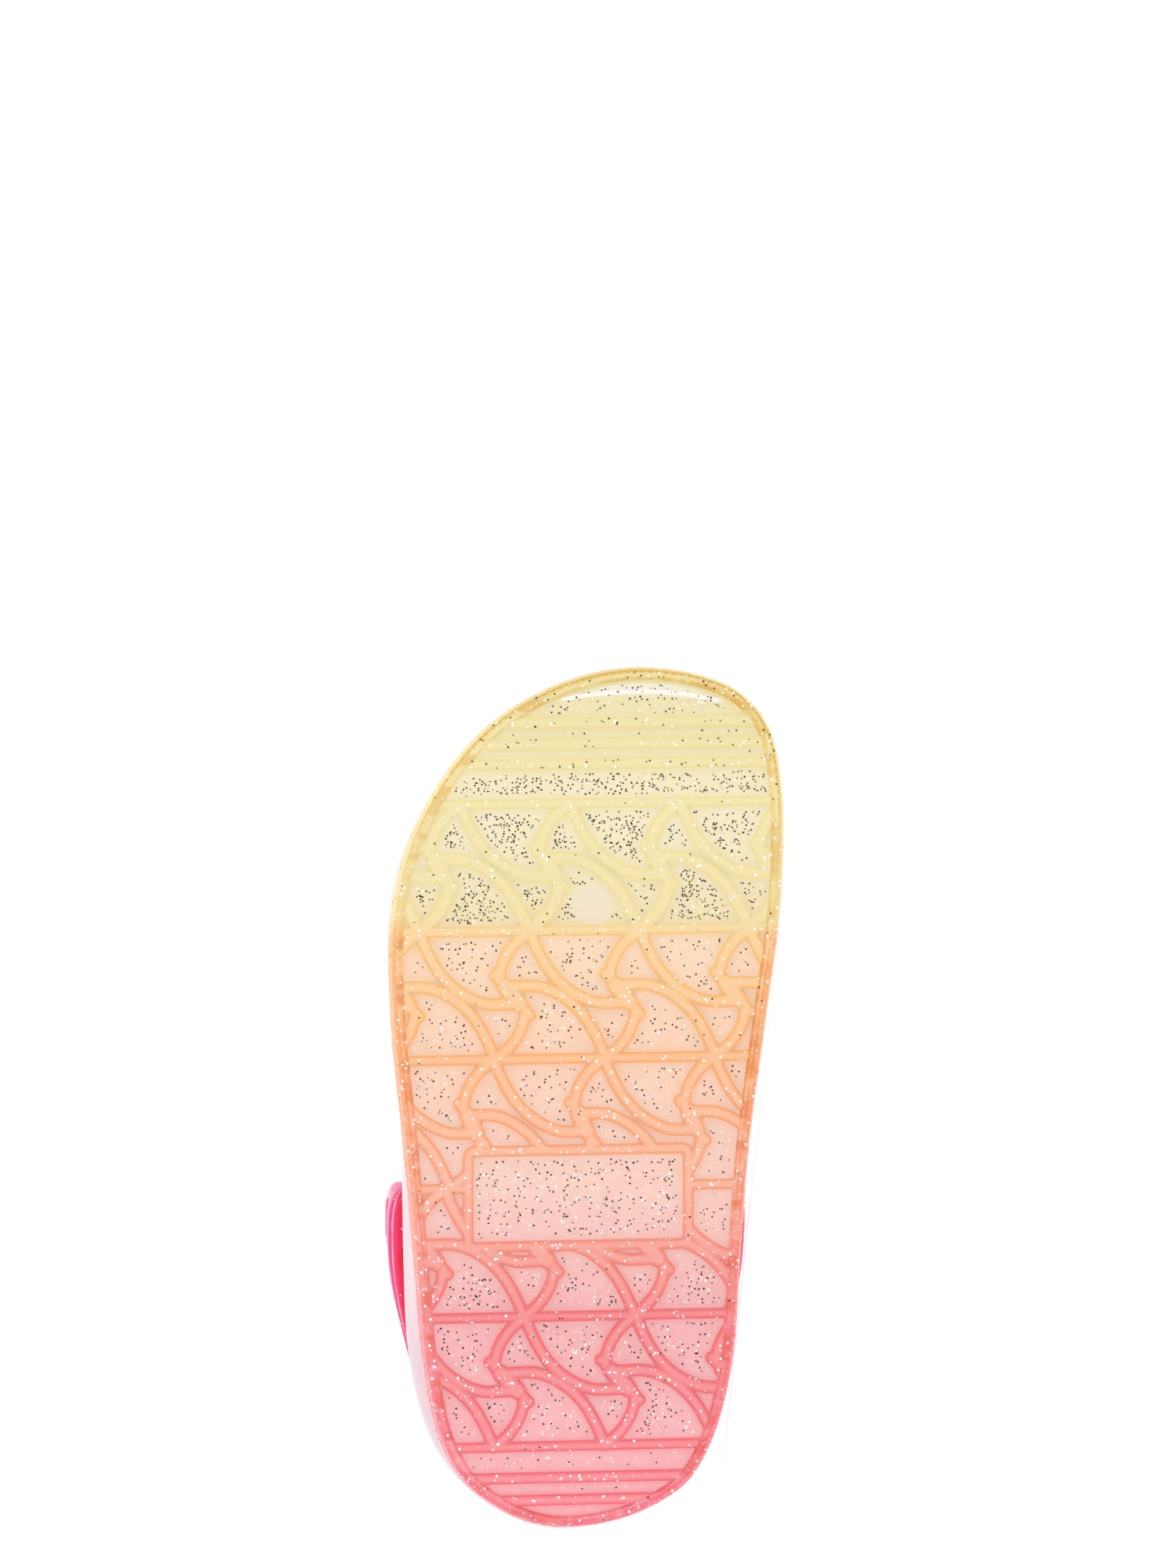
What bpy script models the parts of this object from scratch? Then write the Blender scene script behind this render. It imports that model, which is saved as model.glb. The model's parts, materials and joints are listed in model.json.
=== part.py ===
"""A small child's jelly clog for the right foot, lying on its inner side.

The shoe is modelled standing, in its own frame: x runs from the heel to the toe, y
towards the inner side of the foot and z up from the tread. At the end an empty lays it
on its inner side, with the sole's edge, the upper and the strap on the plane z = 0.
Sizes are in millimetres, and meshes are scaled to metres when they are made.
"""

import math
from collections import namedtuple

import bmesh
import bpy
import numpy as np
from mathutils import Matrix, Vector
from mathutils.geometry import delaunay_2d_cdt

MM = 0.001  # metres in a millimetre
GAP = 0.3  # clearance between pieces that meet

# Driving sizes of the shoe
SOLE_LENGTH = 168.0
HEEL_RISE = 1.5  # how far the back edge of the tread lifts off the floor
HEEL_BREAK = 12.0  # where that lift ends, from the back
ARCH_RISE = 1.0
ARCH_FROM, ARCH_TO = 44.0, 92.0
TOE_SPRING = 7.0
TOE_BREAK = 117.0  # where the toe spring starts, from the back
AROUND = 72  # points in each ring that runs round the shoe

# Plan of the sole: distance from the back, centre line and half width
OutlineRow = namedtuple("OutlineRow", "along centre half_width")
OUTLINE = [
    OutlineRow(0.0, -4.8, 0.0),
    OutlineRow(3.8, -2.8, 14.7),
    OutlineRow(8.7, -2.3, 21.6),
    OutlineRow(16.0, -2.2, 26.1),
    OutlineRow(30.0, -1.9, 29.8),
    OutlineRow(54.0, -2.1, 32.0),
    OutlineRow(76.0, -2.3, 34.0),
    OutlineRow(99.0, -2.0, 36.7),
    OutlineRow(118.0, -0.8, 38.0),
    OutlineRow(130.0, 0.8, 37.2),
    OutlineRow(145.0, 4.3, 33.5),
    OutlineRow(156.5, 8.0, 27.3),
    OutlineRow(164.0, 10.6, 17.8),
    OutlineRow(SOLE_LENGTH, 10.7, 0.0),
]

# Height of the sole's side wall and of its floor under the foot, above the tread
WallRow = namedtuple("WallRow", "along wall floor")
WALL = [
    WallRow(0.0, 16.5, 10.5),
    WallRow(40.0, 15.0, 10.0),
    WallRow(80.0, 13.0, 8.4),
    WallRow(118.0, 12.0, 7.0),
    WallRow(150.0, 11.0, 6.8),
    WallRow(SOLE_LENGTH, 10.0, 6.6),
]

# Steps of the side wall: inset from the outline, share of the wall's height
SideRow = namedtuple("SideRow", "inset share")
SIDE = [
    SideRow(1.0, 0.0),
    SideRow(0.5, 0.07),
    SideRow(0.5, 0.26),
    SideRow(0.0, 0.33),
    SideRow(0.0, 0.56),
    SideRow(0.7, 0.61),
    SideRow(0.7, 0.67),
    SideRow(0.0, 0.72),
    SideRow(0.0, 0.93),
    SideRow(0.8, 1.0),
]
CUP_INSET = 3.6  # inner edge of the wall's top
CUP_FOOT_INSET = 4.4  # where the inner wall meets the fillet round the floor
CUP_FILLET = 1.0
FLOOR_INSET = 5.4

# Tread: a rim, straight ribs across, and rows of fins between them
RIM_WIDTH = 1.9
RIB_WIDTH = 2.3
POCKET_DEPTH = 2.4
SMALLEST_POCKET = 5.0  # square millimetres; a smaller pocket is filled
RIB_SLANT = math.radians(1.2)
HEEL_BARS = (6.1, 10.4)
TOE_BARS = (148.2, 152.2, 156.4)
BAR_WIDTH = 2.5

# Straight ribs across the sole: distance from the back, and where one of the fins on its
# heel side and one of those on its toe side spring
RibRow = namedtuple("RibRow", "along hanging rising")
RIBS = [
    RibRow(16.4, 3.2, 3.2),
    RibRow(41.2, 8.9, 8.9),
    RibRow(66.0, 14.8, 16.0),
    RibRow(90.8, 24.1, 24.5),
    RibRow(115.6, 30.9, 30.9),
    RibRow(140.4, 38.7, 38.7),
]
FIN_PITCH = 21.4  # from fin to fin along a rib
FRONT_REACH = 5.0  # how far a fin's front runs past the fin that comes to meet it

# One fin hanging from a rib: steps across and towards the heel, from where it springs
FinPoint = namedtuple("FinPoint", "across back")
FIN_FRONT = [
    FinPoint(0.1, -0.6),
    FinPoint(1.6, 3.6),
    FinPoint(4.2, 8.0),
    FinPoint(8.2, 11.8),
    FinPoint(13.0, 14.0),
    FinPoint(19.0, 14.1),
]
FIN_BACK = [
    FinPoint(0.1, -0.5),
    FinPoint(-3.5, 3.3),
    FinPoint(-5.2, 6.4),
    FinPoint(-5.8, 9.4),
]
FIN_NECK = FinPoint(-5.2, 9.9)  # a fin's neck runs from here to the same place on its partner
NECK_WIDTH = 3.7
FIN_TOOTH = FinPoint(-6.6, 8.5)
FIN_TOOTH_RADIUS = 1.4
TOOTH_SIDES = 6

# Bare plate in the waist of the sole, with a raised frame
PLATE_ALONG, PLATE_ACROSS = 63.9, -2.1
PLATE_LENGTH, PLATE_WIDTH = 16.0, 40.3
FRAME_WIDTH = 2.4

# Upper: from its foot on the sole's wall to the topline round the opening
UPPER_WALL = 2.4
UPPER_INSET = 0.4
UPPER_RINGS = 9
BULGE_TOP = 0.6  # share of the wall's height where the bulge ends
CROWN_POWER = 0.87  # below 1 the wall is squarer than an ellipse
LIP = 0.45  # how far the rounded topline stands out, as a share of the wall

# Topline against the foot of the wall: place of the foot, then place, half width, height,
# how far round its arch the wall has come when it ends, and how far each side bulges
ToplineRow = namedtuple("ToplineRow", "foot along half_width height turn outer_bulge inner_bulge")
TOPLINE = [
    ToplineRow(0.0, 2.6, 0.0, 38.5, 32, 0.5, 0.3),
    ToplineRow(3.8, 5.6, 13.4, 38.2, 32, 1.2, 0.3),
    ToplineRow(8.7, 9.8, 19.4, 37.6, 32, 1.5, 0.3),
    ToplineRow(16.0, 16.2, 23.8, 36.8, 32, 2.1, 0.4),
    ToplineRow(30.0, 29.0, 27.0, 36.6, 32, 2.9, 0.4),
    ToplineRow(54.0, 49.5, 27.8, 40.2, 34, 2.3, 0.0),
    ToplineRow(76.0, 64.0, 27.0, 46.0, 40, 0.7, 0.0),
    ToplineRow(99.0, 75.5, 25.0, 51.0, 50, 0.3, 1.1),
    ToplineRow(118.0, 82.6, 19.6, 55.0, 58, 1.3, 2.6),
    ToplineRow(130.0, 86.0, 15.2, 57.2, 63, 1.7, 2.8),
    ToplineRow(145.0, 88.8, 9.4, 59.0, 67, 1.0, 1.7),
    ToplineRow(156.5, 90.0, 5.2, 59.8, 68, 0.4, 0.7),
    ToplineRow(164.0, 90.4, 2.6, 60.0, 68, 0.1, 0.1),
    ToplineRow(SOLE_LENGTH, 90.5, 0.0, 60.0, 68, 0.0, 0.0),
]

# Vents over the toes: share of the way up the wall, spread to each side, how many
VentRow = namedtuple("VentRow", "rise spread count radius")
VENTS = [
    VentRow(0.50, 0.74, 5, 2.9),
    VentRow(0.68, 0.78, 4, 2.9),
    VentRow(0.85, 0.74, 3, 2.9),
]
VENT_SIDES = 10
VENT_LENGTH = 12.0

# Heel strap, swung back round its two rivets
PIVOT_ALONG, PIVOT_HEIGHT = 58.6, 34.5
STRAP_REACH = 55.0  # from the rivets to the back of the loop
STRAP_TILT = math.radians(21.0)
STRAP_POWER = 0.86  # below 1 the loop is squarer than an ellipse
STRAP_END_RADIUS = 7.4
STRAP_WIDTH = 11.0
STRAP_THICKNESS = 2.3
STRAP_END_THICKNESS = {-1: 3.8, 1: 3.1}  # at the outer and at the inner end
STRAP_EDGE = 0.7  # chamfer along the strap's edges
STRAP_STEPS = 21
STRAP_END_STEPS = 5

# Rivets: a low head sunk in the strap, a shank, and a flange inside the upper
RIVET_SIDES = 16
SHANK_RADIUS = 2.2
HEAD_RADIUS = 4.5
HEAD_SEAT = 1.3  # depth of the seat for the head
HEAD_DOME = 0.35
FLANGE_RADIUS = 4.6
FLANGE_THICKNESS = 1.2
FACET_SLACK = 0.35  # how far the flat facets of the upper stand in from its smooth wall
BOSS_RADIUS, BOSS_EDGE = 5.0, 8.5  # flat of the upper's boss under a strap end, and its foot

# Insole
INSOLE_THICKNESS = 1.8
INSOLE_EDGE = 0.6

# Colours: linear red, green, blue, and roughness
Finish = namedtuple("Finish", "colour roughness")
FINISHES = {
    "outsole": Finish((0.96, 0.52, 0.32), 0.25),
    "insole": Finish((0.80, 0.78, 0.80), 0.5),
    "upper": Finish((0.86, 0.84, 0.87), 0.22),
    "heel_strap": Finish((0.85, 0.06, 0.24), 0.22),
    "rivet": Finish((0.85, 0.06, 0.24), 0.25),
}


# Curves and tables


def smooth_curve(keys, values):
    """A function that passes smoothly through the rows of a table."""
    keys = np.asarray(keys, float)
    values = np.asarray(values, float)
    slopes = np.gradient(values, keys)

    def at(key):
        key = np.clip(key, keys[0], keys[-1])
        i = np.clip(np.searchsorted(keys, key, side="right") - 1, 0, len(keys) - 2)
        step = keys[i + 1] - keys[i]
        t = (key - keys[i]) / step
        rise = values[i] * (1 + 2 * t) * (1 - t) ** 2 + values[i + 1] * t * t * (3 - 2 * t)
        lean = slopes[i] * t * (1 - t) ** 2 - slopes[i + 1] * t * t * (1 - t)
        return rise + lean * step

    return at


def turn_of(along):
    """The angle, 0 at the heel and pi at the toe, that stands for a place along the shoe."""
    return np.arccos(np.clip(1 - 2 * np.asarray(along, float) / SOLE_LENGTH, -1, 1))


def column(rows, name, key="along"):
    """A column of a table as a smooth function of the angle along the shoe."""
    keys = turn_of([getattr(row, key) for row in rows])
    return smooth_curve(keys, [getattr(row, name) for row in rows])


centre_line = column(OUTLINE, "centre")
half_width = column(OUTLINE, "half_width")
wall_height = column(WALL, "wall")
floor_height = column(WALL, "floor")


def tread_height(along):
    """Height of the tread above the floor on which the shoe would stand."""
    heel = np.clip((HEEL_BREAK - along) / HEEL_BREAK, 0, 1)
    arch = np.clip((along - ARCH_FROM) / (ARCH_TO - ARCH_FROM), 0, 1)
    toe = np.clip((along - TOE_BREAK) / (SOLE_LENGTH - TOE_BREAK), 0, 1)
    return HEEL_RISE * heel**2 + ARCH_RISE * np.sin(math.pi * arch) ** 2 + TOE_SPRING * toe**2


def wall_top(along):
    return tread_height(along) + wall_height(turn_of(along))


def floor_top(along):
    return tread_height(along) + floor_height(turn_of(along))


def folded(angle):
    """Half turn and side of an angle round the shoe: -1 on the outer side, 1 on the inner."""
    angle = np.mod(angle, 2 * math.pi)
    outer = angle <= math.pi
    return np.where(outer, angle, 2 * math.pi - angle), np.where(outer, -1.0, 1.0)


def outline_at(angle):
    """Plan points of the sole's outline, from the heel round the outer side to the toe."""
    turn, side = folded(angle)
    along = SOLE_LENGTH / 2 * (1 - np.cos(turn))
    return np.stack([along, centre_line(turn) + side * half_width(turn)], axis=-1)


def outward_at(angle):
    """Plan normals of the outline, pointing out of the shoe."""
    step = 0.02
    run = outline_at(angle + step) - outline_at(angle - step)
    run /= np.linalg.norm(run, axis=-1, keepdims=True)
    return np.stack([run[..., 1], -run[..., 0]], axis=-1)


ANGLES = np.arange(AROUND) * 2 * math.pi / AROUND


def plan_ring(inset):
    return outline_at(ANGLES) - inset * outward_at(ANGLES)


def ring_at(inset, height):
    """A ring of points round the shoe; height is a function of the place along it."""
    plan = plan_ring(inset)
    return np.column_stack([plan, height(plan[:, 0])])


# Meshes


def add_strip(mesh, lower, upper, closed=True):
    """Faces between two rings, or two open lines, of vertices."""
    count = len(lower)
    for i in range(count if closed else count - 1):
        j = (i + 1) % count
        mesh.faces.new((lower[i], lower[j], upper[j], upper[i]))


def add_ring(mesh, points):
    return [mesh.verts.new(point) for point in points]


def add_span(mesh, ring):
    """Fills a ring round the shoe with faces from its outer to its inner side."""
    half = len(ring) // 2
    for i in range(half):
        near, far = ring[-i % len(ring)], ring[-(i + 1) % len(ring)]
        corners = (ring[i], ring[i + 1], far, near)
        mesh.faces.new(tuple(dict.fromkeys(corners)))


def make_object(name, mesh, finish):
    """Turns a mesh in millimetres into a shaded object in metres."""
    bmesh.ops.remove_doubles(mesh, verts=mesh.verts, dist=0.005)
    bmesh.ops.recalc_face_normals(mesh, faces=mesh.faces)
    bmesh.ops.scale(mesh, vec=(MM, MM, MM), verts=mesh.verts)
    data = bpy.data.meshes.new(name)
    mesh.to_mesh(data)
    mesh.free()
    data.shade_smooth()
    data.set_sharp_from_angle(angle=math.radians(35))
    data.materials.append(material(finish))
    made = bpy.data.objects.new(name, data)
    bpy.context.scene.collection.objects.link(made)
    return made


def material(name):
    found = bpy.data.materials.get(name)
    if found:
        return found
    made = bpy.data.materials.new(name)
    made.use_nodes = True
    shader = made.node_tree.nodes["Principled BSDF"]
    shader.inputs["Base Color"].default_value = (*FINISHES[name].colour, 1.0)
    shader.inputs["Roughness"].default_value = FINISHES[name].roughness
    shader.inputs["Metallic"].default_value = 0.0
    return made


def cut(target, cutter):
    """Cuts one object out of another, and keeps the cutter out of the model."""
    cutter.hide_render = True
    cutter.display_type = "WIRE"
    made = target.modifiers.new(cutter.name, "BOOLEAN")
    made.operation = "DIFFERENCE"
    made.object = cutter


# Tread


def strip_outline(points, width):
    """The outline of a strip of even width along a plan line, mitred at its bends."""
    points = np.asarray(points, float)
    runs = np.diff(points, axis=0)
    runs /= np.linalg.norm(runs, axis=1, keepdims=True)
    sides = np.column_stack([-runs[:, 1], runs[:, 0]])
    before = np.vstack([sides[:1], sides])
    after = np.vstack([sides, sides[-1:]])
    mitre = before + after
    mitre /= np.sum(mitre * before, axis=1, keepdims=True)
    left, right = points + mitre * width / 2, points - mitre * width / 2
    return np.vstack([right, left[::-1]])


def disc_outline(centre, radius, sides):
    angles = np.arange(sides) * 2 * math.pi / sides
    return np.asarray(centre) + radius * np.column_stack([np.cos(angles), np.sin(angles)])


def slanted(along, across):
    """A plan point of the tread's pattern, which runs a little forward towards the inner side."""
    return (along + across * math.tan(RIB_SLANT), across)


def inside(polygon, points):
    """Whether each plan point lies in a polygon."""
    points = np.atleast_2d(points)
    found = np.zeros(len(points), bool)
    for (x0, y0), (x1, y1) in zip(polygon, np.roll(polygon, -1, axis=0)):
        crosses = (y0 > points[:, 1]) != (y1 > points[:, 1])
        with np.errstate(divide="ignore", invalid="ignore"):
            where = x0 + (points[:, 1] - y0) * (x1 - x0) / (y1 - y0)
        found ^= crosses & (points[:, 0] < where)
    return found


def clipped_runs(points, bounds, step=0.6):
    """The parts of a plan line that lie in a polygon, each as a list of points."""
    points = np.asarray(points, float)
    kept, run = [], []
    for start, end in zip(points[:-1], points[1:]):
        count = max(1, math.ceil(np.linalg.norm(end - start) / step))
        spots = start + np.linspace(0, 1, count + 1)[:, None] * (end - start)
        lies_in = inside(bounds, spots)
        for i, spot in enumerate(spots):
            is_corner = i in (0, count)
            edge = lies_in[i] and (is_corner or lies_in[i - 1] != lies_in[i] or not lies_in[i + 1])
            if edge and not (run and np.allclose(run[-1], spot)):
                run.append(spot)
            if not lies_in[i] and run:
                kept.append(run)
                run = []
    kept.append(run)
    return [run for run in kept if len(run) > 1]


def pulled_in(outline, bounds):
    """An outline whose corners outside a polygon are moved to the polygon's nearest edge."""
    outline = outline.copy()
    runs = np.roll(bounds, -1, axis=0) - bounds
    for i in np.flatnonzero(~inside(bounds, outline)):
        share = np.sum((outline[i] - bounds) * runs, axis=1) / np.sum(runs * runs, axis=1)
        near = bounds + np.clip(share, 0, 1)[:, None] * runs
        outline[i] = near[np.argmin(np.linalg.norm(near - outline[i], axis=1))]
    return outline


def straight_ribs():
    """(plan line, width) of each rib and bar that runs across the sole."""
    reach = SOLE_LENGTH / 2
    ribs = [(rib.along, RIB_WIDTH) for rib in RIBS]
    bars = [(along, BAR_WIDTH) for along in (*HEEL_BARS, *TOE_BARS)]
    return [([slanted(a, -reach), slanted(a, reach)], width) for a, width in ribs + bars]


def fin_lines():
    """(plan line, width) of the fins in every row, and the centres of their teeth."""
    lines, teeth = [], []
    count = math.ceil(SOLE_LENGTH / FIN_PITCH)
    for heel_rib, toe_rib in zip(RIBS, RIBS[1:]):
        reach = FIN_PITCH + FRONT_REACH - (toe_rib.hanging - heel_rib.rising)
        front = [FinPoint(min(p.across, reach), p.back) for p in FIN_FRONT]
        for shift in np.arange(-count, count + 1) * FIN_PITCH:
            hanging = lambda p: slanted(toe_rib.along - p.back, toe_rib.hanging + shift + p.across)
            rising = lambda p: slanted(heel_rib.along + p.back, heel_rib.rising + shift - p.across)
            for edge in (front, FIN_BACK):
                lines.append(([hanging(p) for p in edge], RIB_WIDTH))
                lines.append(([rising(p) for p in edge], RIB_WIDTH))
            lines.append(([hanging(FIN_NECK), rising(FIN_NECK)], NECK_WIDTH))
            teeth += [hanging(FIN_TOOTH), rising(FIN_TOOTH)]
    return lines, teeth


def plate_outline(margin):
    length, width = PLATE_LENGTH / 2 + margin, PLATE_WIDTH / 2 + margin
    corners = ((-length, -width), (length, -width), (length, width), (-length, width))
    return np.array([slanted(PLATE_ALONG + a, PLATE_ACROSS + b) for a, b in corners])


def tread_outlines():
    """Plan polygons of the tread: edge, rim's inner edge, plate, then all that is raised."""
    edge = plan_ring(SIDE[0].inset)
    rim = plan_ring(SIDE[0].inset + RIM_WIDTH)
    middle = plan_ring(SIDE[0].inset + RIM_WIDTH / 2)
    limit = plan_ring(SIDE[0].inset + RIM_WIDTH / 4)
    raised = [plate_outline(FRAME_WIDTH)]
    fins, teeth = fin_lines()
    for line, width in straight_ribs() + fins:
        strips = [strip_outline(run, width) for run in clipped_runs(line, middle)]
        raised += [pulled_in(strip, limit) for strip in strips]
    for tooth in teeth:
        disc = disc_outline(tooth, FIN_TOOTH_RADIUS, TOOTH_SIDES)
        if inside(middle, disc).all():
            raised.append(disc)
    return [edge, rim, plate_outline(0.0), *raised]


def counter_clockwise(polygon):
    ahead = np.roll(polygon, -1, axis=0)
    area = np.sum(polygon[:, 0] * ahead[:, 1] - polygon[:, 1] * ahead[:, 0])
    return polygon if area > 0 else polygon[::-1]


def tread_triangles():
    """Plan points, triangles and which of the triangles are pockets."""
    edge, rim, plate, raised = 0, 1, 2, 3
    corners, polygons = [], []
    for outline in tread_outlines():
        outline = counter_clockwise(outline)
        polygons.append(list(range(len(corners), len(corners) + len(outline))))
        corners += [Vector(corner) for corner in outline]
    spots, _, triangles, _, _, sources = delaunay_2d_cdt(corners, [], polygons, 1, 0.02, True)
    kept = [(tri, set(found)) for tri, found in zip(triangles, sources) if edge in found]
    pocket = [
        plate in found or (rim in found and not any(f >= raised for f in found))
        for _, found in kept
    ]
    triangles = np.array([tri for tri, _ in kept])
    return np.array([tuple(spot) for spot in spots]), triangles, filled_small(spots, triangles, pocket)


def neighbours(triangles):
    """The triangles on the two sides of each edge."""
    sides = {}
    for index, tri in enumerate(triangles):
        for a, b in zip(tri, np.roll(tri, -1)):
            sides.setdefault(frozenset((int(a), int(b))), []).append(index)
    return sides


def filled_small(spots, triangles, pocket):
    """Leaves out the pockets whose area is too small to mould."""
    group = list(range(len(triangles)))

    def root(i):
        while group[i] != i:
            i = group[i]
        return i

    for pair in neighbours(triangles).values():
        if len(pair) == 2 and pocket[pair[0]] and pocket[pair[1]]:
            group[root(pair[0])] = root(pair[1])
    area = {}
    for index, (a, b, c) in enumerate(triangles):
        size = abs((spots[b] - spots[a]).cross(spots[c] - spots[a])) / 2
        area[root(index)] = area.get(root(index), 0.0) + size
    return [is_in and area[root(i)] >= SMALLEST_POCKET for i, is_in in enumerate(pocket)]


def add_tread(mesh):
    """The underside of the sole, with its pockets and their walls."""
    spots, triangles, pocket = tread_triangles()
    low = [None] * len(spots)
    high = [None] * len(spots)

    def corner(index, is_pocket):
        made = high if is_pocket else low
        if made[index] is None:
            x, y = spots[index]
            made[index] = mesh.verts.new((x, y, tread_height(x) + POCKET_DEPTH * is_pocket))
        return made[index]

    for tri, is_pocket in zip(triangles, pocket):
        mesh.faces.new([corner(i, is_pocket) for i in tri[::-1]])
    for edge, pair in neighbours(triangles).items():
        if len(pair) == 2 and pocket[pair[0]] != pocket[pair[1]]:
            a, b = edge
            wall = (corner(a, False), corner(b, False), corner(b, True), corner(a, True))
            mesh.faces.new(wall)


# Pieces


def make_outsole():
    mesh = bmesh.new()
    add_tread(mesh)
    rings = []
    for row in SIDE:
        height = lambda x, share=row.share: tread_height(x) + share * wall_height(turn_of(x))
        rings.append(ring_at(row.inset, height))
    rings.append(ring_at(CUP_INSET, wall_top))
    rings.append(ring_at(CUP_FOOT_INSET, lambda x: floor_top(x) + CUP_FILLET))
    rings.append(ring_at(FLOOR_INSET, floor_top))
    made = [add_ring(mesh, ring) for ring in rings]
    for lower, upper in zip(made, made[1:]):
        add_strip(mesh, lower, upper)
    add_span(mesh, made[-1])
    return make_object("outsole", mesh, "outsole")


def make_insole():
    mesh = bmesh.new()
    inset = FLOOR_INSET + GAP
    base = lambda x: floor_top(x) + GAP
    rings = [
        ring_at(inset, base),
        ring_at(inset, lambda x: base(x) + INSOLE_THICKNESS - INSOLE_EDGE),
        ring_at(inset + INSOLE_EDGE, lambda x: base(x) + INSOLE_THICKNESS),
    ]
    made = [add_ring(mesh, ring) for ring in rings]
    for lower, upper in zip(made, made[1:]):
        add_strip(mesh, lower, upper)
    add_span(mesh, made[0])
    add_span(mesh, made[-1])
    return make_object("insole", mesh, "insole")


def upper_point(angle, rise):
    """Outer surface of the upper, by angle round the shoe and rise from foot to topline."""
    turn, side = folded(angle)
    foot = outline_at(angle) - UPPER_INSET * outward_at(angle)
    foot_height = wall_top(foot[..., 0]) + GAP
    along = topline["along"](turn)
    across = centre_line(turn_of(along)) + side * topline["half_width"](turn)
    arch = np.radians(topline["turn"](turn))
    start, end = np.cos(rise * arch) ** CROWN_POWER, np.cos(arch) ** CROWN_POWER
    inwards = (1 - start) / (1 - end)
    upwards = (np.sin(rise * arch) / np.sin(arch)) ** CROWN_POWER
    bulge = np.where(side < 0, topline["outer_bulge"](turn), topline["inner_bulge"](turn))
    bulge = bulge * np.sin(math.pi * np.clip(upwards / BULGE_TOP, 0, 1))
    plan = foot + outward_at(angle) * bulge[..., None]
    plan = plan + (np.stack([along, across], axis=-1) - foot) * inwards[..., None]
    height = foot_height + (topline["height"](turn) - foot_height) * upwards
    return np.concatenate([plan, height[..., None]], axis=-1)


topline = {name: column(TOPLINE, name, "foot") for name in ToplineRow._fields[1:]}


def upper_normal(angle, rise):
    """Unit normals of the upper's outer surface, pointing out of the shoe."""
    step = 0.01
    around = upper_point(angle + step, rise) - upper_point(angle - step, rise)
    low, high = np.maximum(rise - step, 0.0), np.minimum(rise + step, 1.0)
    normal = np.cross(around, upper_point(angle, high) - upper_point(angle, low))
    return normal / np.linalg.norm(normal, axis=-1, keepdims=True)


def upper_rings():
    """Outer and inner rings of the upper, from its foot to the topline."""
    rises = np.linspace(0, 1, UPPER_RINGS + 1) ** 1.15
    angle, rise = np.meshgrid(ANGLES, rises)
    outer = upper_point(angle, rise)
    inner = outer - UPPER_WALL * upper_normal(angle, rise)
    inner[0, :, 2] = outer[0, :, 2]
    return with_bosses(outer), inner


def with_bosses(points):
    """The upper's outer points, brought out to the strap round each rivet."""
    points = points.copy()
    away = np.hypot(points[..., 0] - PIVOT_ALONG, points[..., 2] - PIVOT_HEIGHT)
    share = np.clip((BOSS_EDGE - away) / (BOSS_EDGE - BOSS_RADIUS), 0, 1)
    share = share * share * (3 - 2 * share)
    for side in (-1, 1):
        reach = side * points[..., 1]
        short = np.maximum(strap_seat(side) - GAP - reach, 0)
        points[..., 1] += side * np.where(reach > 0, share * short, 0)
    return points


def make_upper():
    mesh = bmesh.new()
    outer, inner = upper_rings()
    middle = (outer[-1] + inner[-1]) / 2
    climb = outer[-1] - outer[-2]
    lip = middle + LIP * UPPER_WALL * climb / np.linalg.norm(climb, axis=1, keepdims=True)
    rings = [add_ring(mesh, ring) for ring in (*outer, lip, *inner[::-1])]
    for lower, upper in zip(rings, rings[1:] + rings[:1]):
        add_strip(mesh, lower, upper)
    made = make_object("upper", mesh, "upper")
    cut(made, make_upper_cutter())
    return made


def add_rod(mesh, start, end, radius, sides):
    """A closed rod between two points."""
    axis = Vector(end) - Vector(start)
    place = Matrix.Translation((Vector(start) + Vector(end)) / 2)
    place @= axis.to_track_quat("Z", "Y").to_matrix().to_4x4()
    bmesh.ops.create_cone(
        mesh, cap_ends=True, segments=sides, radius1=radius, radius2=radius,
        depth=axis.length, matrix=place,
    )


def make_upper_cutter():
    """The vents over the toes, and the holes for the rivets."""
    mesh = bmesh.new()
    for row in VENTS:
        for share in np.linspace(-1, 1, row.count):
            angle, rise = np.array(math.pi + share * row.spread), np.array(row.rise)
            centre = upper_point(angle, rise)
            half = upper_normal(angle, rise) * VENT_LENGTH / 2
            add_rod(mesh, centre - half, centre + half, row.radius, VENT_SIDES)
    for side in (-1, 1):
        start = pivot(side, strap_seat(side) - VENT_LENGTH)
        end = pivot(side, strap_seat(side) + VENT_LENGTH / 2)
        add_rod(mesh, start, end, SHANK_RADIUS + GAP, RIVET_SIDES)
    return make_object("upper_cutter", mesh, "upper")


def pivot(side, distance):
    """A point on the rivets' axis, at a distance from the shoe's own centre plane."""
    return (PIVOT_ALONG, side * distance, PIVOT_HEIGHT)


def side_reach(side, radius, pick, depth=0.0):
    """Reach to one side of the upper near a rivet, as the largest or the smallest found."""
    turns = np.linspace(0.2 * math.pi, 0.8 * math.pi, 160)
    angle, rise = np.meshgrid(turns if side < 0 else 2 * math.pi - turns, np.linspace(0, 1, 80))
    points = upper_point(angle, rise) - depth * upper_normal(angle, rise)
    away = np.hypot(points[..., 0] - PIVOT_ALONG, points[..., 2] - PIVOT_HEIGHT)
    return pick(side * points[..., 1][away < radius])


def strap_seat(side):
    """Where the strap's inner face lies at its rivet."""
    return side_reach(side, STRAP_END_RADIUS, np.max) + GAP


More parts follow.
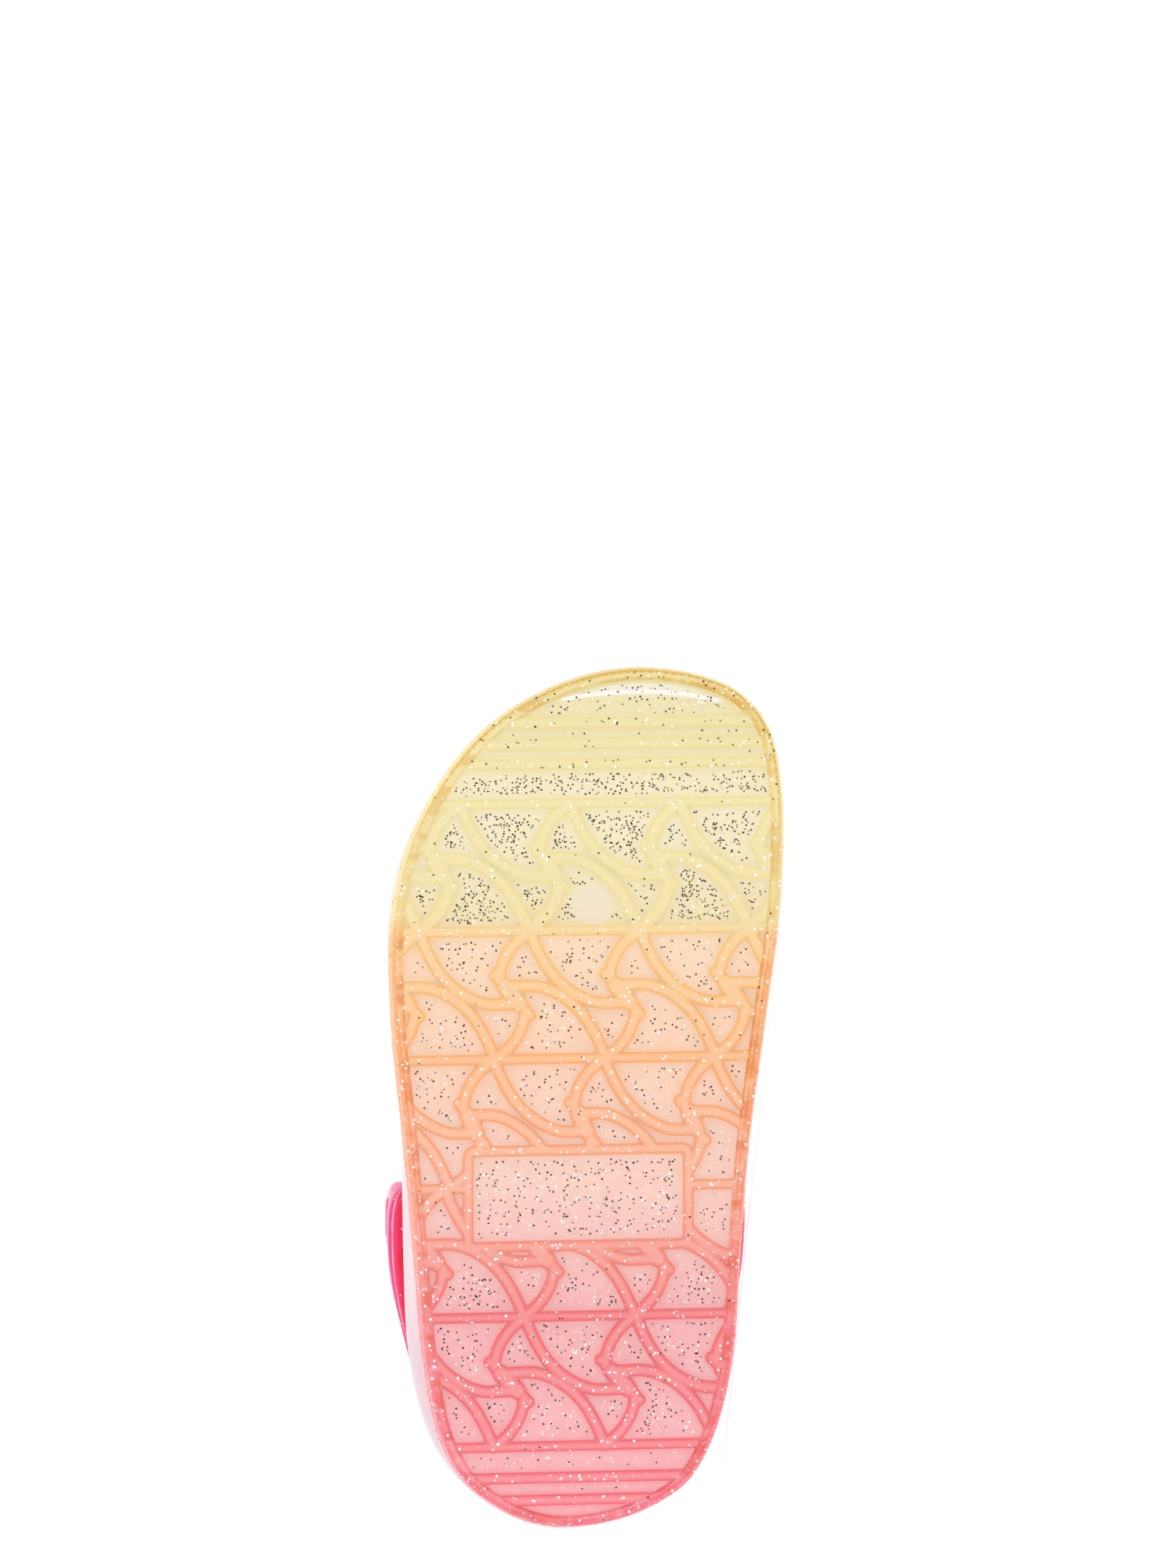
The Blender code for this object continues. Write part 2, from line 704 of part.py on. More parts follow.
def strap_sections():
    """Places along the strap: steps in its own plane, outward direction, width, thickness."""
    seats = {side: strap_seat(side) for side in (-1, 1)}
    middle = (seats[1] - seats[-1]) / 2
    half = (seats[1] + seats[-1]) / 2
    rows = []
    for turn in np.linspace(0.12, 0.5, STRAP_END_STEPS) * math.pi:
        forward = STRAP_END_RADIUS * math.cos(turn)
        width = 2 * STRAP_END_RADIUS * math.sin(turn)
        rows.append(((forward, middle - half), (0.0, -1.0), width, STRAP_END_THICKNESS[-1]))
    for turn in np.linspace(-0.5, 0.5, STRAP_STEPS + 1)[1:-1] * math.pi:
        sine, cosine = math.sin(turn), math.cos(turn)
        spot = (
            -STRAP_REACH * cosine**STRAP_POWER,
            middle + half * math.copysign(abs(sine) ** STRAP_POWER, sine),
        )
        out = Vector((-half * cosine, STRAP_REACH * sine)).normalized()
        share = min(1.0, STRAP_REACH * cosine / (3 * STRAP_END_RADIUS))
        ease = share * share * (3 - 2 * share)
        width = 2 * STRAP_END_RADIUS + (STRAP_WIDTH - 2 * STRAP_END_RADIUS) * ease
        end = STRAP_END_THICKNESS[-1 if sine < 0 else 1]
        thickness = end + (STRAP_THICKNESS - end) * ease
        rows.append((spot, tuple(out), width, thickness))
    first = rows[:STRAP_END_STEPS]
    for (forward, across), _, width, _ in reversed(first):
        spot = (forward, 2 * middle - across)
        rows.append((spot, (0.0, 1.0), width, STRAP_END_THICKNESS[1]))
    return rows


def strap_ring(spot, out, width, thickness):
    """One section of the strap, a band with chamfered edges, in the shoe's frame."""
    edge = min(STRAP_EDGE, width / 4)
    half = width / 2
    profile = [
        (0, -half + edge), (edge, -half), (thickness - edge, -half), (thickness, -half + edge),
        (thickness, half - edge), (thickness - edge, half), (edge, half), (0, half - edge),
    ]
    points = []
    for away, up in profile:
        forward, across = spot[0] + out[0] * away, spot[1] + out[1] * away
        x = PIVOT_ALONG + forward * math.cos(STRAP_TILT) + up * math.sin(STRAP_TILT)
        z = PIVOT_HEIGHT - forward * math.sin(STRAP_TILT) + up * math.cos(STRAP_TILT)
        points.append((x, across, z))
    return points


def make_heel_strap():
    mesh = bmesh.new()
    rings = [add_ring(mesh, strap_ring(*row)) for row in strap_sections()]
    for lower, upper in zip(rings, rings[1:]):
        add_strip(mesh, lower, upper)
    mesh.faces.new(rings[0])
    mesh.faces.new(rings[-1])
    made = make_object("heel_strap", mesh, "heel_strap")
    cut(made, make_strap_cutter())
    return made


def make_strap_cutter():
    """The rivets' holes in the strap, each with a seat for the head."""
    mesh = bmesh.new()
    for side in (-1, 1):
        thickness = STRAP_END_THICKNESS[side]
        face = strap_seat(side) + thickness
        seat = face - HEAD_SEAT
        profile = [
            (SHANK_RADIUS + GAP, strap_seat(side) - thickness),
            (SHANK_RADIUS + GAP, seat),
            (HEAD_RADIUS + GAP, seat),
            (HEAD_RADIUS + GAP, face + thickness),
        ]
        add_turned(mesh, side, profile)
    return make_object("strap_cutter", mesh, "heel_strap")


def add_turned(mesh, side, profile):
    """A closed solid turned about the rivets' axis, from (radius, distance) pairs."""
    rings = []
    for radius, distance in profile:
        centre = np.array(pivot(side, distance))
        angles = np.arange(RIVET_SIDES) * 2 * math.pi / RIVET_SIDES
        round_it = np.column_stack([np.cos(angles), 0 * angles, np.sin(angles)])
        rings.append(add_ring(mesh, centre + radius * round_it))
    for lower, upper in zip(rings, rings[1:]):
        add_strip(mesh, lower, upper)
    mesh.faces.new(rings[0])
    mesh.faces.new(rings[-1])


def make_rivet(side, name):
    mesh = bmesh.new()
    face = strap_seat(side) + STRAP_END_THICKNESS[side]
    inner = side_reach(side, FLANGE_RADIUS + GAP, np.min, UPPER_WALL) - GAP - FACET_SLACK
    add_turned(mesh, side, [
        (FLANGE_RADIUS - GAP, inner - FLANGE_THICKNESS),
        (FLANGE_RADIUS, inner - FLANGE_THICKNESS + GAP),
        (FLANGE_RADIUS, inner),
        (SHANK_RADIUS, inner),
        (SHANK_RADIUS, face - HEAD_SEAT + GAP),
        (HEAD_RADIUS, face - HEAD_SEAT + GAP),
        (HEAD_RADIUS, face - GAP),
        (HEAD_RADIUS * 0.8, face + HEAD_DOME * 0.6),
        (HEAD_RADIUS * 0.35, face + HEAD_DOME),
    ])
    return make_object(name, mesh, "rivet")


# Lying on its side


def solid_points(pieces):
    """Corners, volume and centre of mass of the finished pieces, in the shoe's frame."""
    graph = bpy.context.evaluated_depsgraph_get()
    corners, volume, moment = [], 0.0, Vector()
    for piece in pieces:
        data = piece.evaluated_get(graph).to_mesh()
        data.calc_loop_triangles()
        corners += [v.co.copy() for v in data.vertices]
        for tri in data.loop_triangles:
            a, b, c = (data.vertices[i].co for i in tri.vertices)
            share = a.dot(b.cross(c)) / 6
            volume += share
            moment += share * (a + b + c) / 4
    return corners, moment / volume


def resting_face(corners, balance):
    """Outward normal of the hull's face, on the inner side, that lies under the balance point."""
    hull = bmesh.new()
    for corner in corners:
        hull.verts.new(corner)
    bmesh.ops.convex_hull(hull, input=hull.verts)
    hull.normal_update()
    inner = [f for f in hull.faces if f.normal.y > 0.9]
    under = [f for f in inner if holds(f, balance)]
    normal = under[0].normal.copy()
    hull.free()
    return normal


def holds(face, point):
    """Whether a line from the point, square to the face, passes through it."""
    loops = [v.co for v in face.verts]
    return all(
        (end - start).cross(point - start).dot(face.normal) >= 0
        for start, end in zip(loops, loops[1:] + loops[:1])
    )


def lay_on_side(pieces):
    """Parents the pieces to an empty that lays them down, origin under the box's centre."""
    corners, balance = solid_points(pieces)
    up = -resting_face(corners, balance)
    forward = Vector((1, 0, 0))
    forward = (forward - forward.dot(up) * up).normalized()
    turned = Matrix((forward, up.cross(forward), up))
    placed = np.array([turned @ corner for corner in corners])
    low, high = placed.min(axis=0), placed.max(axis=0)
    middle = (low + high) / 2
    shoe = bpy.data.objects.new("shoe", None)
    bpy.context.scene.collection.objects.link(shoe)
    shoe.matrix_world = Matrix.Translation((-middle[0], -middle[1], -low[2])) @ turned.to_4x4()
    for piece in [o for o in bpy.context.scene.objects if o.type == "MESH"]:
        piece.parent = shoe


def main():
    for old in list(bpy.data.objects):
        bpy.data.objects.remove(old)
    pieces = [
        make_outsole(),
        make_insole(),
        make_upper(),
        make_heel_strap(),
        make_rivet(-1, "rivet_outer_side"),
        make_rivet(1, "rivet_inner_side"),
    ]
    lay_on_side(pieces)


main()
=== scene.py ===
"""Looks of the jelly clog: glitter jelly sole, milky upper and hot pink strap.

Pieces are worked out in the shoe's own frame, in millimetres: x from heel to toe, y to
the inner side of the foot, z up from the tread. One matrix then lays them where the
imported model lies, on its inner side.
"""

import json
import math
from collections import namedtuple

import bmesh
import bpy
import numpy as np
from mathutils import Matrix, Vector


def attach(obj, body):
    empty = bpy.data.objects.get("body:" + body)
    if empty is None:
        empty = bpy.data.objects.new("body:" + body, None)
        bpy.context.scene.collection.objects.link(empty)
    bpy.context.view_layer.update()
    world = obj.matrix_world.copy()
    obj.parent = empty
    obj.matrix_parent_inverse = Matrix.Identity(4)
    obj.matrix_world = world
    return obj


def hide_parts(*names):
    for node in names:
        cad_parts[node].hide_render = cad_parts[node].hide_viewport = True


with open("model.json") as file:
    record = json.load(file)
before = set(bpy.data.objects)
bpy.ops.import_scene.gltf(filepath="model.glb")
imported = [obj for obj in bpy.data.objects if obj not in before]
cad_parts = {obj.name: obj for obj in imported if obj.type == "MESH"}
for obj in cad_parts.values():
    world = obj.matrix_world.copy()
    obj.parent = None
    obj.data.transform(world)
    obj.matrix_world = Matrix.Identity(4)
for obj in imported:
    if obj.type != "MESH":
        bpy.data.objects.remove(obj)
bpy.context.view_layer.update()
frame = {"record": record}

MM = 0.001  # metres in a millimetre
GAP = 0.3  # clearance between pieces that meet
RANDOM = np.random.default_rng(11)


def table(fields, rows):
    """Rows whose values have names."""
    row_kind = namedtuple("Row", fields)
    return [row_kind(*row) for row in rows]


# The shoe, with the sizes of the part's source but for fins, pockets and how fine the pieces are
SOLE_LENGTH = 168.0
HEEL_RISE, HEEL_BREAK = 1.5, 12.0
ARCH_RISE, ARCH_FROM, ARCH_TO = 1.0, 44.0, 92.0
TOE_SPRING, TOE_BREAK = 7.0, 117.0

OUTLINE = table("along centre half_width", [
    (0.0, -4.8, 0.0),
    (3.8, -2.8, 14.7),
    (8.7, -2.3, 21.6),
    (16.0, -2.2, 26.1),
    (30.0, -1.9, 29.8),
    (54.0, -2.1, 32.0),
    (76.0, -2.3, 34.0),
    (99.0, -2.0, 36.7),
    (118.0, -0.8, 38.0),
    (130.0, 0.8, 37.2),
    (145.0, 4.3, 33.5),
    (156.5, 8.0, 27.3),
    (164.0, 10.6, 17.8),
    (SOLE_LENGTH, 10.7, 0.0),
])

WALL = table("along wall floor", [
    (0.0, 16.5, 10.5),
    (40.0, 15.0, 10.0),
    (80.0, 13.0, 8.4),
    (118.0, 12.0, 7.0),
    (150.0, 11.0, 6.8),
    (SOLE_LENGTH, 10.0, 6.6),
])

# Steps of the side wall: inset, share of its height, and how strong a line it shows
SIDE = table("inset share line", [
    (1.0, 0.0, 0.5),
    (0.5, 0.07, 0.9),
    (0.5, 0.26, 0.3),
    (0.0, 0.33, 0.5),
    (0.0, 0.56, 0.1),
    (0.7, 0.61, 0.5),
    (0.7, 0.67, 0.5),
    (0.0, 0.72, 0.1),
    (0.0, 0.93, 0.1),
    (0.8, 1.0, 0.4),
])
CUP_INSET, CUP_FOOT_INSET, CUP_FILLET, FLOOR_INSET = 3.6, 4.4, 1.0, 5.4
CUP_EDGE_INSET, CUP_EDGE_DROP = 0.3, 0.6  # roundness of the cup's inner edge

# Tread
RIM_WIDTH = 1.9
MAX_HALF_WIDTH = 46.0  # ribs further out than this lie outside the sole
RIB_WIDTH = 2.3
FIN_WIDTH = 2.7  # wider than the solid's, because its edges are rounded here
POCKET_DEPTH = 1.8  # less than the solid's, because the jelly here is less clear
POCKET_SIDE = (-0.65, 0.45)  # where a pocket's side starts and ends, measured from the rib's edge
TOE_DEPTH = 0.7  # depth of the yellow toe's pockets, against the others
TOE_DEPTH_ALONG = (112.0, 120.0)  # where the depth changes
RIB_SLANT = math.radians(1.2)
HEEL_BARS = (6.1, 10.4)
TOE_BARS = (148.2, 152.2, 156.4)
BAR_WIDTH = 2.5
RIBS = table("along hanging rising", [
    (16.4, 3.2, 3.2), (41.2, 8.9, 8.9), (66.0, 14.8, 16.0),
    (90.8, 24.1, 24.5), (115.6, 30.9, 30.9), (140.4, 38.7, 38.7),
])
FIN_PITCH = 21.4
FRONT_REACH = 3.7  # less than the solid's, whose square pockets would touch with it
FinPoint = namedtuple("FinPoint", "across back")
FIN_FRONT = [
    FinPoint(0.0, 0.0), FinPoint(1.6, 3.6), FinPoint(4.2, 8.0), FinPoint(8.2, 11.8),
    FinPoint(13.0, 14.0), FinPoint(19.0, 14.1),
]
FIN_BACK = [FinPoint(0.0, 0.0), FinPoint(-3.5, 3.3), FinPoint(-5.2, 6.4), FinPoint(-5.8, 9.4)]
FIN_NECK, NECK_WIDTH = FinPoint(-5.2, 9.9), 3.7
NECK_SHORTER = 0.15  # share taken off each end of a neck, which is rounded here
FIN_TOOTH, FIN_TOOTH_RADIUS = FinPoint(-6.6, 8.5), 1.35
DOT = 0.01  # length of the line that a round tooth is drawn with
PLATE_ALONG, PLATE_ACROSS = 63.9, -2.1
PLATE_LENGTH, PLATE_WIDTH, FRAME_WIDTH = 16.0, 40.3, 2.4
GATE_ALONG, GATE_ACROSS, GATE_RADIUS, GATE_DEPTH = 120.7, 0.6, 4.0, 1.2
GATE_SIDE = (-0.2, 0.5)  # where the side of the gate's disc starts and ends, from its edge
WALL_RELIEF = -0.7  # gives the side wall a rib's colours

# Low ridge across the toe, which carries a painted highlight: its middle, half length, how far its
# ends fall back, height
RIDGE_ALONG, RIDGE_ACROSS = 162.8, 10.2
RIDGE_REACH, RIDGE_FALL, RIDGE_HEIGHT = 17.5, 2.2, 0.3
RIDGE_HALF_WIDTH = 0.9
RIDGE_FADE, RIDGE_CLEAR = 0.8, 0.4  # it fades past this share of its reach, and this near the rim

# Upper
UPPER_WALL, UPPER_INSET = 2.4, 0.4
BULGE_TOP, CROWN_POWER = 0.6, 0.87
TOPLINE = table("foot along half_width height turn outer_bulge inner_bulge", [
    (0.0, 2.6, 0.0, 38.5, 32, 0.5, 0.3),
    (3.8, 5.6, 13.4, 38.2, 32, 1.2, 0.3),
    (8.7, 9.8, 19.4, 37.6, 32, 1.5, 0.3),
    (16.0, 16.2, 23.8, 36.8, 32, 2.1, 0.4),
    (30.0, 29.0, 27.0, 36.6, 32, 2.9, 0.4),
    (54.0, 49.5, 27.8, 40.2, 34, 2.3, 0.0),
    (76.0, 64.0, 27.0, 46.0, 40, 0.7, 0.0),
    (99.0, 75.5, 25.0, 51.0, 50, 0.3, 1.1),
    (118.0, 82.6, 19.6, 55.0, 58, 1.3, 2.6),
    (130.0, 86.0, 15.2, 57.2, 63, 1.7, 2.8),
    (145.0, 88.8, 9.4, 59.0, 67, 1.0, 1.7),
    (156.5, 90.0, 5.2, 59.8, 68, 0.4, 0.7),
    (164.0, 90.4, 2.6, 60.0, 68, 0.1, 0.1),
    (SOLE_LENGTH, 90.5, 0.0, 60.0, 68, 0.0, 0.0),
])
VENTS = table("rise spread count radius", [
    (0.50, 0.74, 5, 2.9), (0.68, 0.78, 4, 2.9), (0.85, 0.74, 3, 2.9),
])
VENT_SIDES, VENT_LENGTH = 36, 12.0
RING_CROWDING = 1.15  # above 1, the upper's rings lie closer near its foot
LIP_STEPS, SHARP_ANGLE = 8, math.radians(40)

# Strap and rivets
PIVOT_ALONG, PIVOT_HEIGHT = 58.6, 34.5
STRAP_REACH, STRAP_TILT, STRAP_POWER = 55.0, math.radians(21.0), 0.86
STRAP_END_RADIUS, STRAP_WIDTH = 7.4, 11.0
STRAP_THICKNESS = 2.3
STRAP_END_THICKNESS = {-1: 3.8, 1: 3.1}  # at the outer and at the inner end
STRAP_TIP_POWER = 3.4  # the higher, the squarer the strap's ends
STRAP_TIP_TURN = 0.02  # first section of a tip, as a share of half a turn
STRAP_EASE = 3.0  # a strap end narrows over about this many of its radii
STRAP_FACE_POWER, STRAP_EDGE_POWER = 0.45, 0.35  # the lower, the squarer its section
SHANK_RADIUS, HEAD_RADIUS, HEAD_SEAT, HEAD_DOME = 2.2, 4.5, 1.3, 0.35
FLANGE_RADIUS, FLANGE_THICKNESS, FACET_SLACK = 4.6, 1.2, 0.35
FLANGE_EDGE, AXIS_RADIUS, RIVET_ROUNDING = 0.3, 0.05, 2
HEAD_SHAPE = [(0.86, 0.55), (0.6, 0.8), (0.5, 0.45)]  # shares of the head's radius and of its dome
HEAD_DISH = 0.4  # share of the dome at the axis
BOSS_RADIUS, BOSS_EDGE = 5.0, 8.5  # flat of the upper's boss under a strap end, and its foot
INSOLE_THICKNESS, INSOLE_EDGE = 1.8, 0.6
EDGE_ROUND_IN, EDGE_ROUND_DOWN = 0.3, 0.25  # shares of the insole's edge
NUB_PITCH, NUB_HEIGHT, NUB_RADIUS = 4.2, 0.35, 1.25
NUB_LINE = 0.866 * NUB_PITCH  # between lines of nubs, which are set like a honeycomb
NUB_BORDER = (4.0, 6.0)  # nubs start and are full this far from the edge

# Fineness of the pieces
SOLE_ROWS, SOLE_COLUMNS = 400, 170
UPPER_AROUND, UPPER_RINGS = 180, 36
STRAP_STEPS, STRAP_END_STEPS, STRAP_PROFILE = 110, 14, 24
TURN_SIDES = 48
INSOLE_ROWS, INSOLE_COLUMNS = 150, 100
PROBE_TURNS, PROBE_RISES = 160, 80  # points that the reach near a rivet is found from

# Colours along the sole: pocket floor, rib, the painted shade lines along its sloping edges, and the
# rim
TINTS = table("along pocket rib line rim", [
    (6.0, (249, 186, 189), (248, 132, 143), (236, 100, 118), (240, 112, 130)),
    (42.0, (244, 184, 184), (243, 128, 131), (234, 104, 112), (240, 122, 126)),
    (66.0, (246, 208, 195), (250, 176, 147), (242, 146, 110), (239, 132, 88)),
    (92.0, (248, 211, 185), (251, 190, 135), (244, 164, 98), (240, 154, 92)),
    (114.0, (249, 219, 188), (250, 210, 148), (246, 186, 106), (241, 164, 86)),
    (118.0, (240, 223, 180), (243, 227, 168), (240, 220, 150), (236, 207, 130)),
    (138.0, (244, 232, 197), (242, 228, 166), (240, 222, 152), (239, 214, 140)),
    (150.0, (242, 230, 188), (241, 227, 168), (239, 222, 152), (239, 212, 130)),
    (165.0, (235, 222, 171), (241, 227, 170), (238, 218, 146), (226, 186, 86)),
])
# Colours through the strap's thickness, from its inner face, 0, to its outer face, 1; the near-white
# stop at 0.70 is a painted highlight line, and the lilac stops past it are partly painted reflection
STRAP_TINTS_AND_HIGHLIGHT = [
    (0.0, (244, 104, 140)),
    (0.1, (240, 34, 82)),
    (0.58, (250, 42, 104)),
    (0.66, (250, 120, 168)),
    # painted highlight line
    (0.70, (255, 206, 226)),
    (0.74, (240, 110, 160)),
    (0.84, (222, 74, 138)),
    (1.0, (234, 96, 156)),
]
STRAP_CLOUD = (252, 60, 124)
DASH_SHADE = (0.97, 0.86, 0.7)  # of the rim's dashes, against the rim
# The toe ridge's near-white colour is a painted highlight
RIDGE_HIGHLIGHT, GATE_DISC = (254, 252, 246), (239, 224, 203)
GILT, DUST = (218, 176, 64), (250, 246, 250)
UPPER_HEEL, UPPER_MILK, UPPER_STREAK = (243, 213, 221), (235, 231, 237), (230, 218, 229)
INSOLE_TONES = (236, 230, 236), (232, 225, 232)
RIVET_TONES = (240, 52, 118), (228, 60, 134)
GLOW = 0.5  # share of the jelly's light that comes from within it
SHEEN = 0.045  # light that its gloss adds on top
POCKET_LIFT = 1.05  # makes up for the shade that ribs throw into the pockets


# Curves and tables


def smooth_curve(keys, values):
    """A function that passes smoothly through the rows of a table."""
    keys, values = np.asarray(keys, float), np.asarray(values, float)
    slopes = np.gradient(values, keys)

    def at(key):
        key = np.clip(key, keys[0], keys[-1])
        i = np.clip(np.searchsorted(keys, key, side="right") - 1, 0, len(keys) - 2)
        step = keys[i + 1] - keys[i]
        t = (key - keys[i]) / step
        rise = values[i] * (1 + 2 * t) * (1 - t) ** 2 + values[i + 1] * t * t * (3 - 2 * t)
        lean = slopes[i] * t * (1 - t) ** 2 - slopes[i + 1] * t * t * (1 - t)
        return rise + lean * step

    return at


def turn_of(along):
    """The angle, 0 at the heel and pi at the toe, that stands for a place along the shoe."""
    return np.arccos(np.clip(1 - 2 * np.asarray(along, float) / SOLE_LENGTH, -1, 1))


def column(rows, name, key="along"):
    keys = turn_of([getattr(row, key) for row in rows])
    return smooth_curve(keys, [getattr(row, name) for row in rows])


centre_line = column(OUTLINE, "centre")
half_width = column(OUTLINE, "half_width")
wall_height = column(WALL, "wall")
floor_height = column(WALL, "floor")
topline = {name: column(TOPLINE, name, "foot") for name in TOPLINE[0]._fields[1:]}


def tread_height(along):
    heel = np.clip((HEEL_BREAK - along) / HEEL_BREAK, 0, 1)
    arch = np.clip((along - ARCH_FROM) / (ARCH_TO - ARCH_FROM), 0, 1)
    toe = np.clip((along - TOE_BREAK) / (SOLE_LENGTH - TOE_BREAK), 0, 1)
    return HEEL_RISE * heel**2 + ARCH_RISE * np.sin(math.pi * arch) ** 2 + TOE_SPRING * toe**2


def wall_top(along):
    return tread_height(along) + wall_height(turn_of(along))


def floor_top(along):
    return tread_height(along) + floor_height(turn_of(along))


def unit(vectors):
    return vectors / np.linalg.norm(vectors, axis=-1, keepdims=True)


def signed_power(value, power):
    return np.sign(value) * np.abs(value) ** power


def folded(angle):
    """Half turn and side of an angle round the shoe: -1 on the outer side, 1 on the inner."""
    angle = np.mod(angle, 2 * math.pi)
    outer = angle <= math.pi
    return np.where(outer, angle, 2 * math.pi - angle), np.where(outer, -1.0, 1.0)


def outline_at(angle):
    turn, side = folded(angle)
    along = SOLE_LENGTH / 2 * (1 - np.cos(turn))
    return np.stack([along, centre_line(turn) + side * half_width(turn)], axis=-1)


def outward_at(angle):
    step = 0.02
    run = unit(outline_at(angle + step) - outline_at(angle - step))
    return np.stack([run[..., 1], -run[..., 0]], axis=-1)


def even_angles(rows):
    """Angles round the shoe at even steps along its outline, the same on both sides."""
    turns = np.linspace(0, math.pi, 4001)
    sides = [outline_at(turns), outline_at(2 * math.pi - turns)]
    steps = sum(np.linalg.norm(np.diff(s, axis=0), axis=1) for s in sides)
    length = np.concatenate([[0], np.cumsum(steps)])
    half = np.interp(np.linspace(0, length[-1], rows + 1), length, turns)
    return np.concatenate([half, 2 * math.pi - half[-2:0:-1]])


def ring_at(angles, inset, height):
    plan = outline_at(angles) - inset * outward_at(angles)
    return np.column_stack([plan, height(plan[:, 0])])


def eased(low, high, value):
    """0 below low, 1 above high, and a smooth step between them."""
    t = np.clip((value - low) / (high - low), 0, 1)
    return t * t * t * (t * (6 * t - 15) + 10)


def linear(colour):
    """Photo colours, 0 to 255, as the linear values that shaders take."""
    c = np.asarray(colour, float) / 255
    return np.where(c <= 0.04045, c / 12.92, ((c + 0.055) / 1.055) ** 2.4)


# Where the shoe lies

TREAD_SPOTS = {"tread_forefoot": (115.6, -10.6), "tread_heel": (41.2, -11.4)}


def slanted(along, across):
    """A plan point of the tread's pattern, which runs a little forward to the inner side."""
    return (along + across * math.tan(RIB_SLANT), across)


def lying_matrix():
    """From the shoe's frame, in millimetres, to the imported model's, from its two tread mounts."""
    mounts = {mount["name"]: mount for mount in frame["record"]["mounts"]}
    up = -Vector(mounts["tread_heel"]["axis"]).normalized()
    fore, heel = (Vector(mounts[name]["pos_m"]) for name in TREAD_SPOTS)
    fore_plan, heel_plan = (Vector(slanted(*spot)) for spot in TREAD_SPOTS.values())
    run = (fore - heel).normalized()
    turn = math.atan2(*reversed(fore_plan - heel_plan))
    forward = run * math.cos(turn) - up.cross(run) * math.sin(turn)
    forward = (forward - forward.dot(up) * up).normalized()
    turned = Matrix((forward, up.cross(forward), up)).transposed()
    origin = heel - turned @ Vector((*heel_plan, 0)) * MM
    return Matrix.Translation(origin) @ turned.to_4x4() @ Matrix.Scale(MM, 4)


LYING = lying_matrix()


def laid(points):
    """Points of the shoe's frame, in millimetres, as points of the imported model."""
    grid = np.array(LYING)
    return np.asarray(points, float) @ grid[:3, :3].T + grid[:3, 3]


# Meshes


def linked(name, data):
    made = bpy.data.objects.new(name, data)
    bpy.context.scene.collection.objects.link(made)
    return made


def mesh_object(name, points, faces, surface, **fields):
    """A shaded object from points of the shoe's frame, with values that its points carry."""
    data = bpy.data.meshes.new(name)
    data.from_pydata(laid(points).tolist(), [], [tuple(map(int, face)) for face in faces])
    work = bmesh.new()
    work.from_mesh(data)
    for field, values in fields.items():
        layer = work.verts.layers.float.new(field)
        for vert, value in zip(work.verts, values):
            vert[layer] = value
    bmesh.ops.remove_doubles(work, verts=work.verts, dist=1e-7)
    bmesh.ops.recalc_face_normals(work, faces=work.faces)
    work.to_mesh(data)
    work.free()
    data.shade_smooth()
    data.materials.append(surface)
    return linked(name, data)


def ring_faces(rings, around, start=0, closed=False):
    """Faces of a stack of rings that lie one after the other in the list of points."""
    number = start + np.arange(rings * around).reshape(rings, around)
    above = np.roll(number, -1, axis=0)
    corners = number, np.roll(number, -1, axis=1), np.roll(above, -1, axis=1), above
    faces = np.column_stack([corner.ravel() for corner in corners])
    return faces if closed else faces[:-around]


def capped_faces(rings, around):
    """Faces of a stack of rings, with one across each end."""
    last = (rings - 1) * around
    return [*ring_faces(rings, around), range(around), range(last, last + around)]


def grid_faces(rows, columns):
    """Faces of a grid whose points lie row after row in the list of points."""
    number = np.arange(rows * columns).reshape(rows, columns)
    corners = number[:-1, :-1], number[:-1, 1:], number[1:, 1:], number[1:, :-1]
    return np.column_stack([corner.ravel() for corner in corners])


def closing_faces(ring):
    """Faces that close a ring of vertex numbers, in strips from its one side to its other."""
    around, half = len(ring), len(ring) // 2
    faces = []
    for i in range(1, half - 1):
        faces.append([ring[i], ring[i + 1], ring[-(i + 1) % around], ring[-i % around]])
    return faces + [[ring[0], ring[1], ring[-1]], [ring[half - 1], ring[half], ring[half + 1]]]


def bed_faces(rows, columns, rings):
    """Faces of a plan grid, of the rings that follow it, and across the last ring."""
    around, start = 2 * rows, (rows + 1) * (columns + 1)
    last = start + (rings - 1) * around + np.arange(around)
    grid = grid_faces(rows + 1, columns + 1)
    return [*grid, *ring_faces(rings, around, start), *closing_faces(last)]


def plan_grid(edge, columns):
    """Plan points in rows from heel to toe, each row straight from the outer edge to the inner."""
    rows = np.arange(len(edge) // 2 + 1)
    share = np.linspace(0, 1, columns + 1)[None, :, None]
    outer, inner = edge[rows, None, :2], edge[-rows % len(edge), None, :2]
    return (outer * (1 - share) + inner * share).reshape(-1, 2)


def edge_segments(edge):
    """The straight pieces of a closed plan line, as segments without width."""
    return np.column_stack([edge, np.roll(edge, -1, axis=0), np.zeros(len(edge))])


def rounded(rows, times):
    """Cuts the corners off an open line of rows, keeping its two ends."""
    rows = np.asarray(rows, float)
    for _ in range(times):
        near = rows[:-1] * 0.75 + rows[1:] * 0.25
        far = rows[:-1] * 0.25 + rows[1:] * 0.75
        middle = np.stack([near, far], axis=1).reshape(-1, rows.shape[1])
        rows = np.vstack([rows[:1], middle, rows[-1:]])
    return rows


def own(piece, slot, *nodes):
    """Says what a piece rides on and which solids it stands for; its slot, the finish it takes, is not
    used.
    """
    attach(piece, "root")
    if nodes:
        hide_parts(*nodes)


# Materials


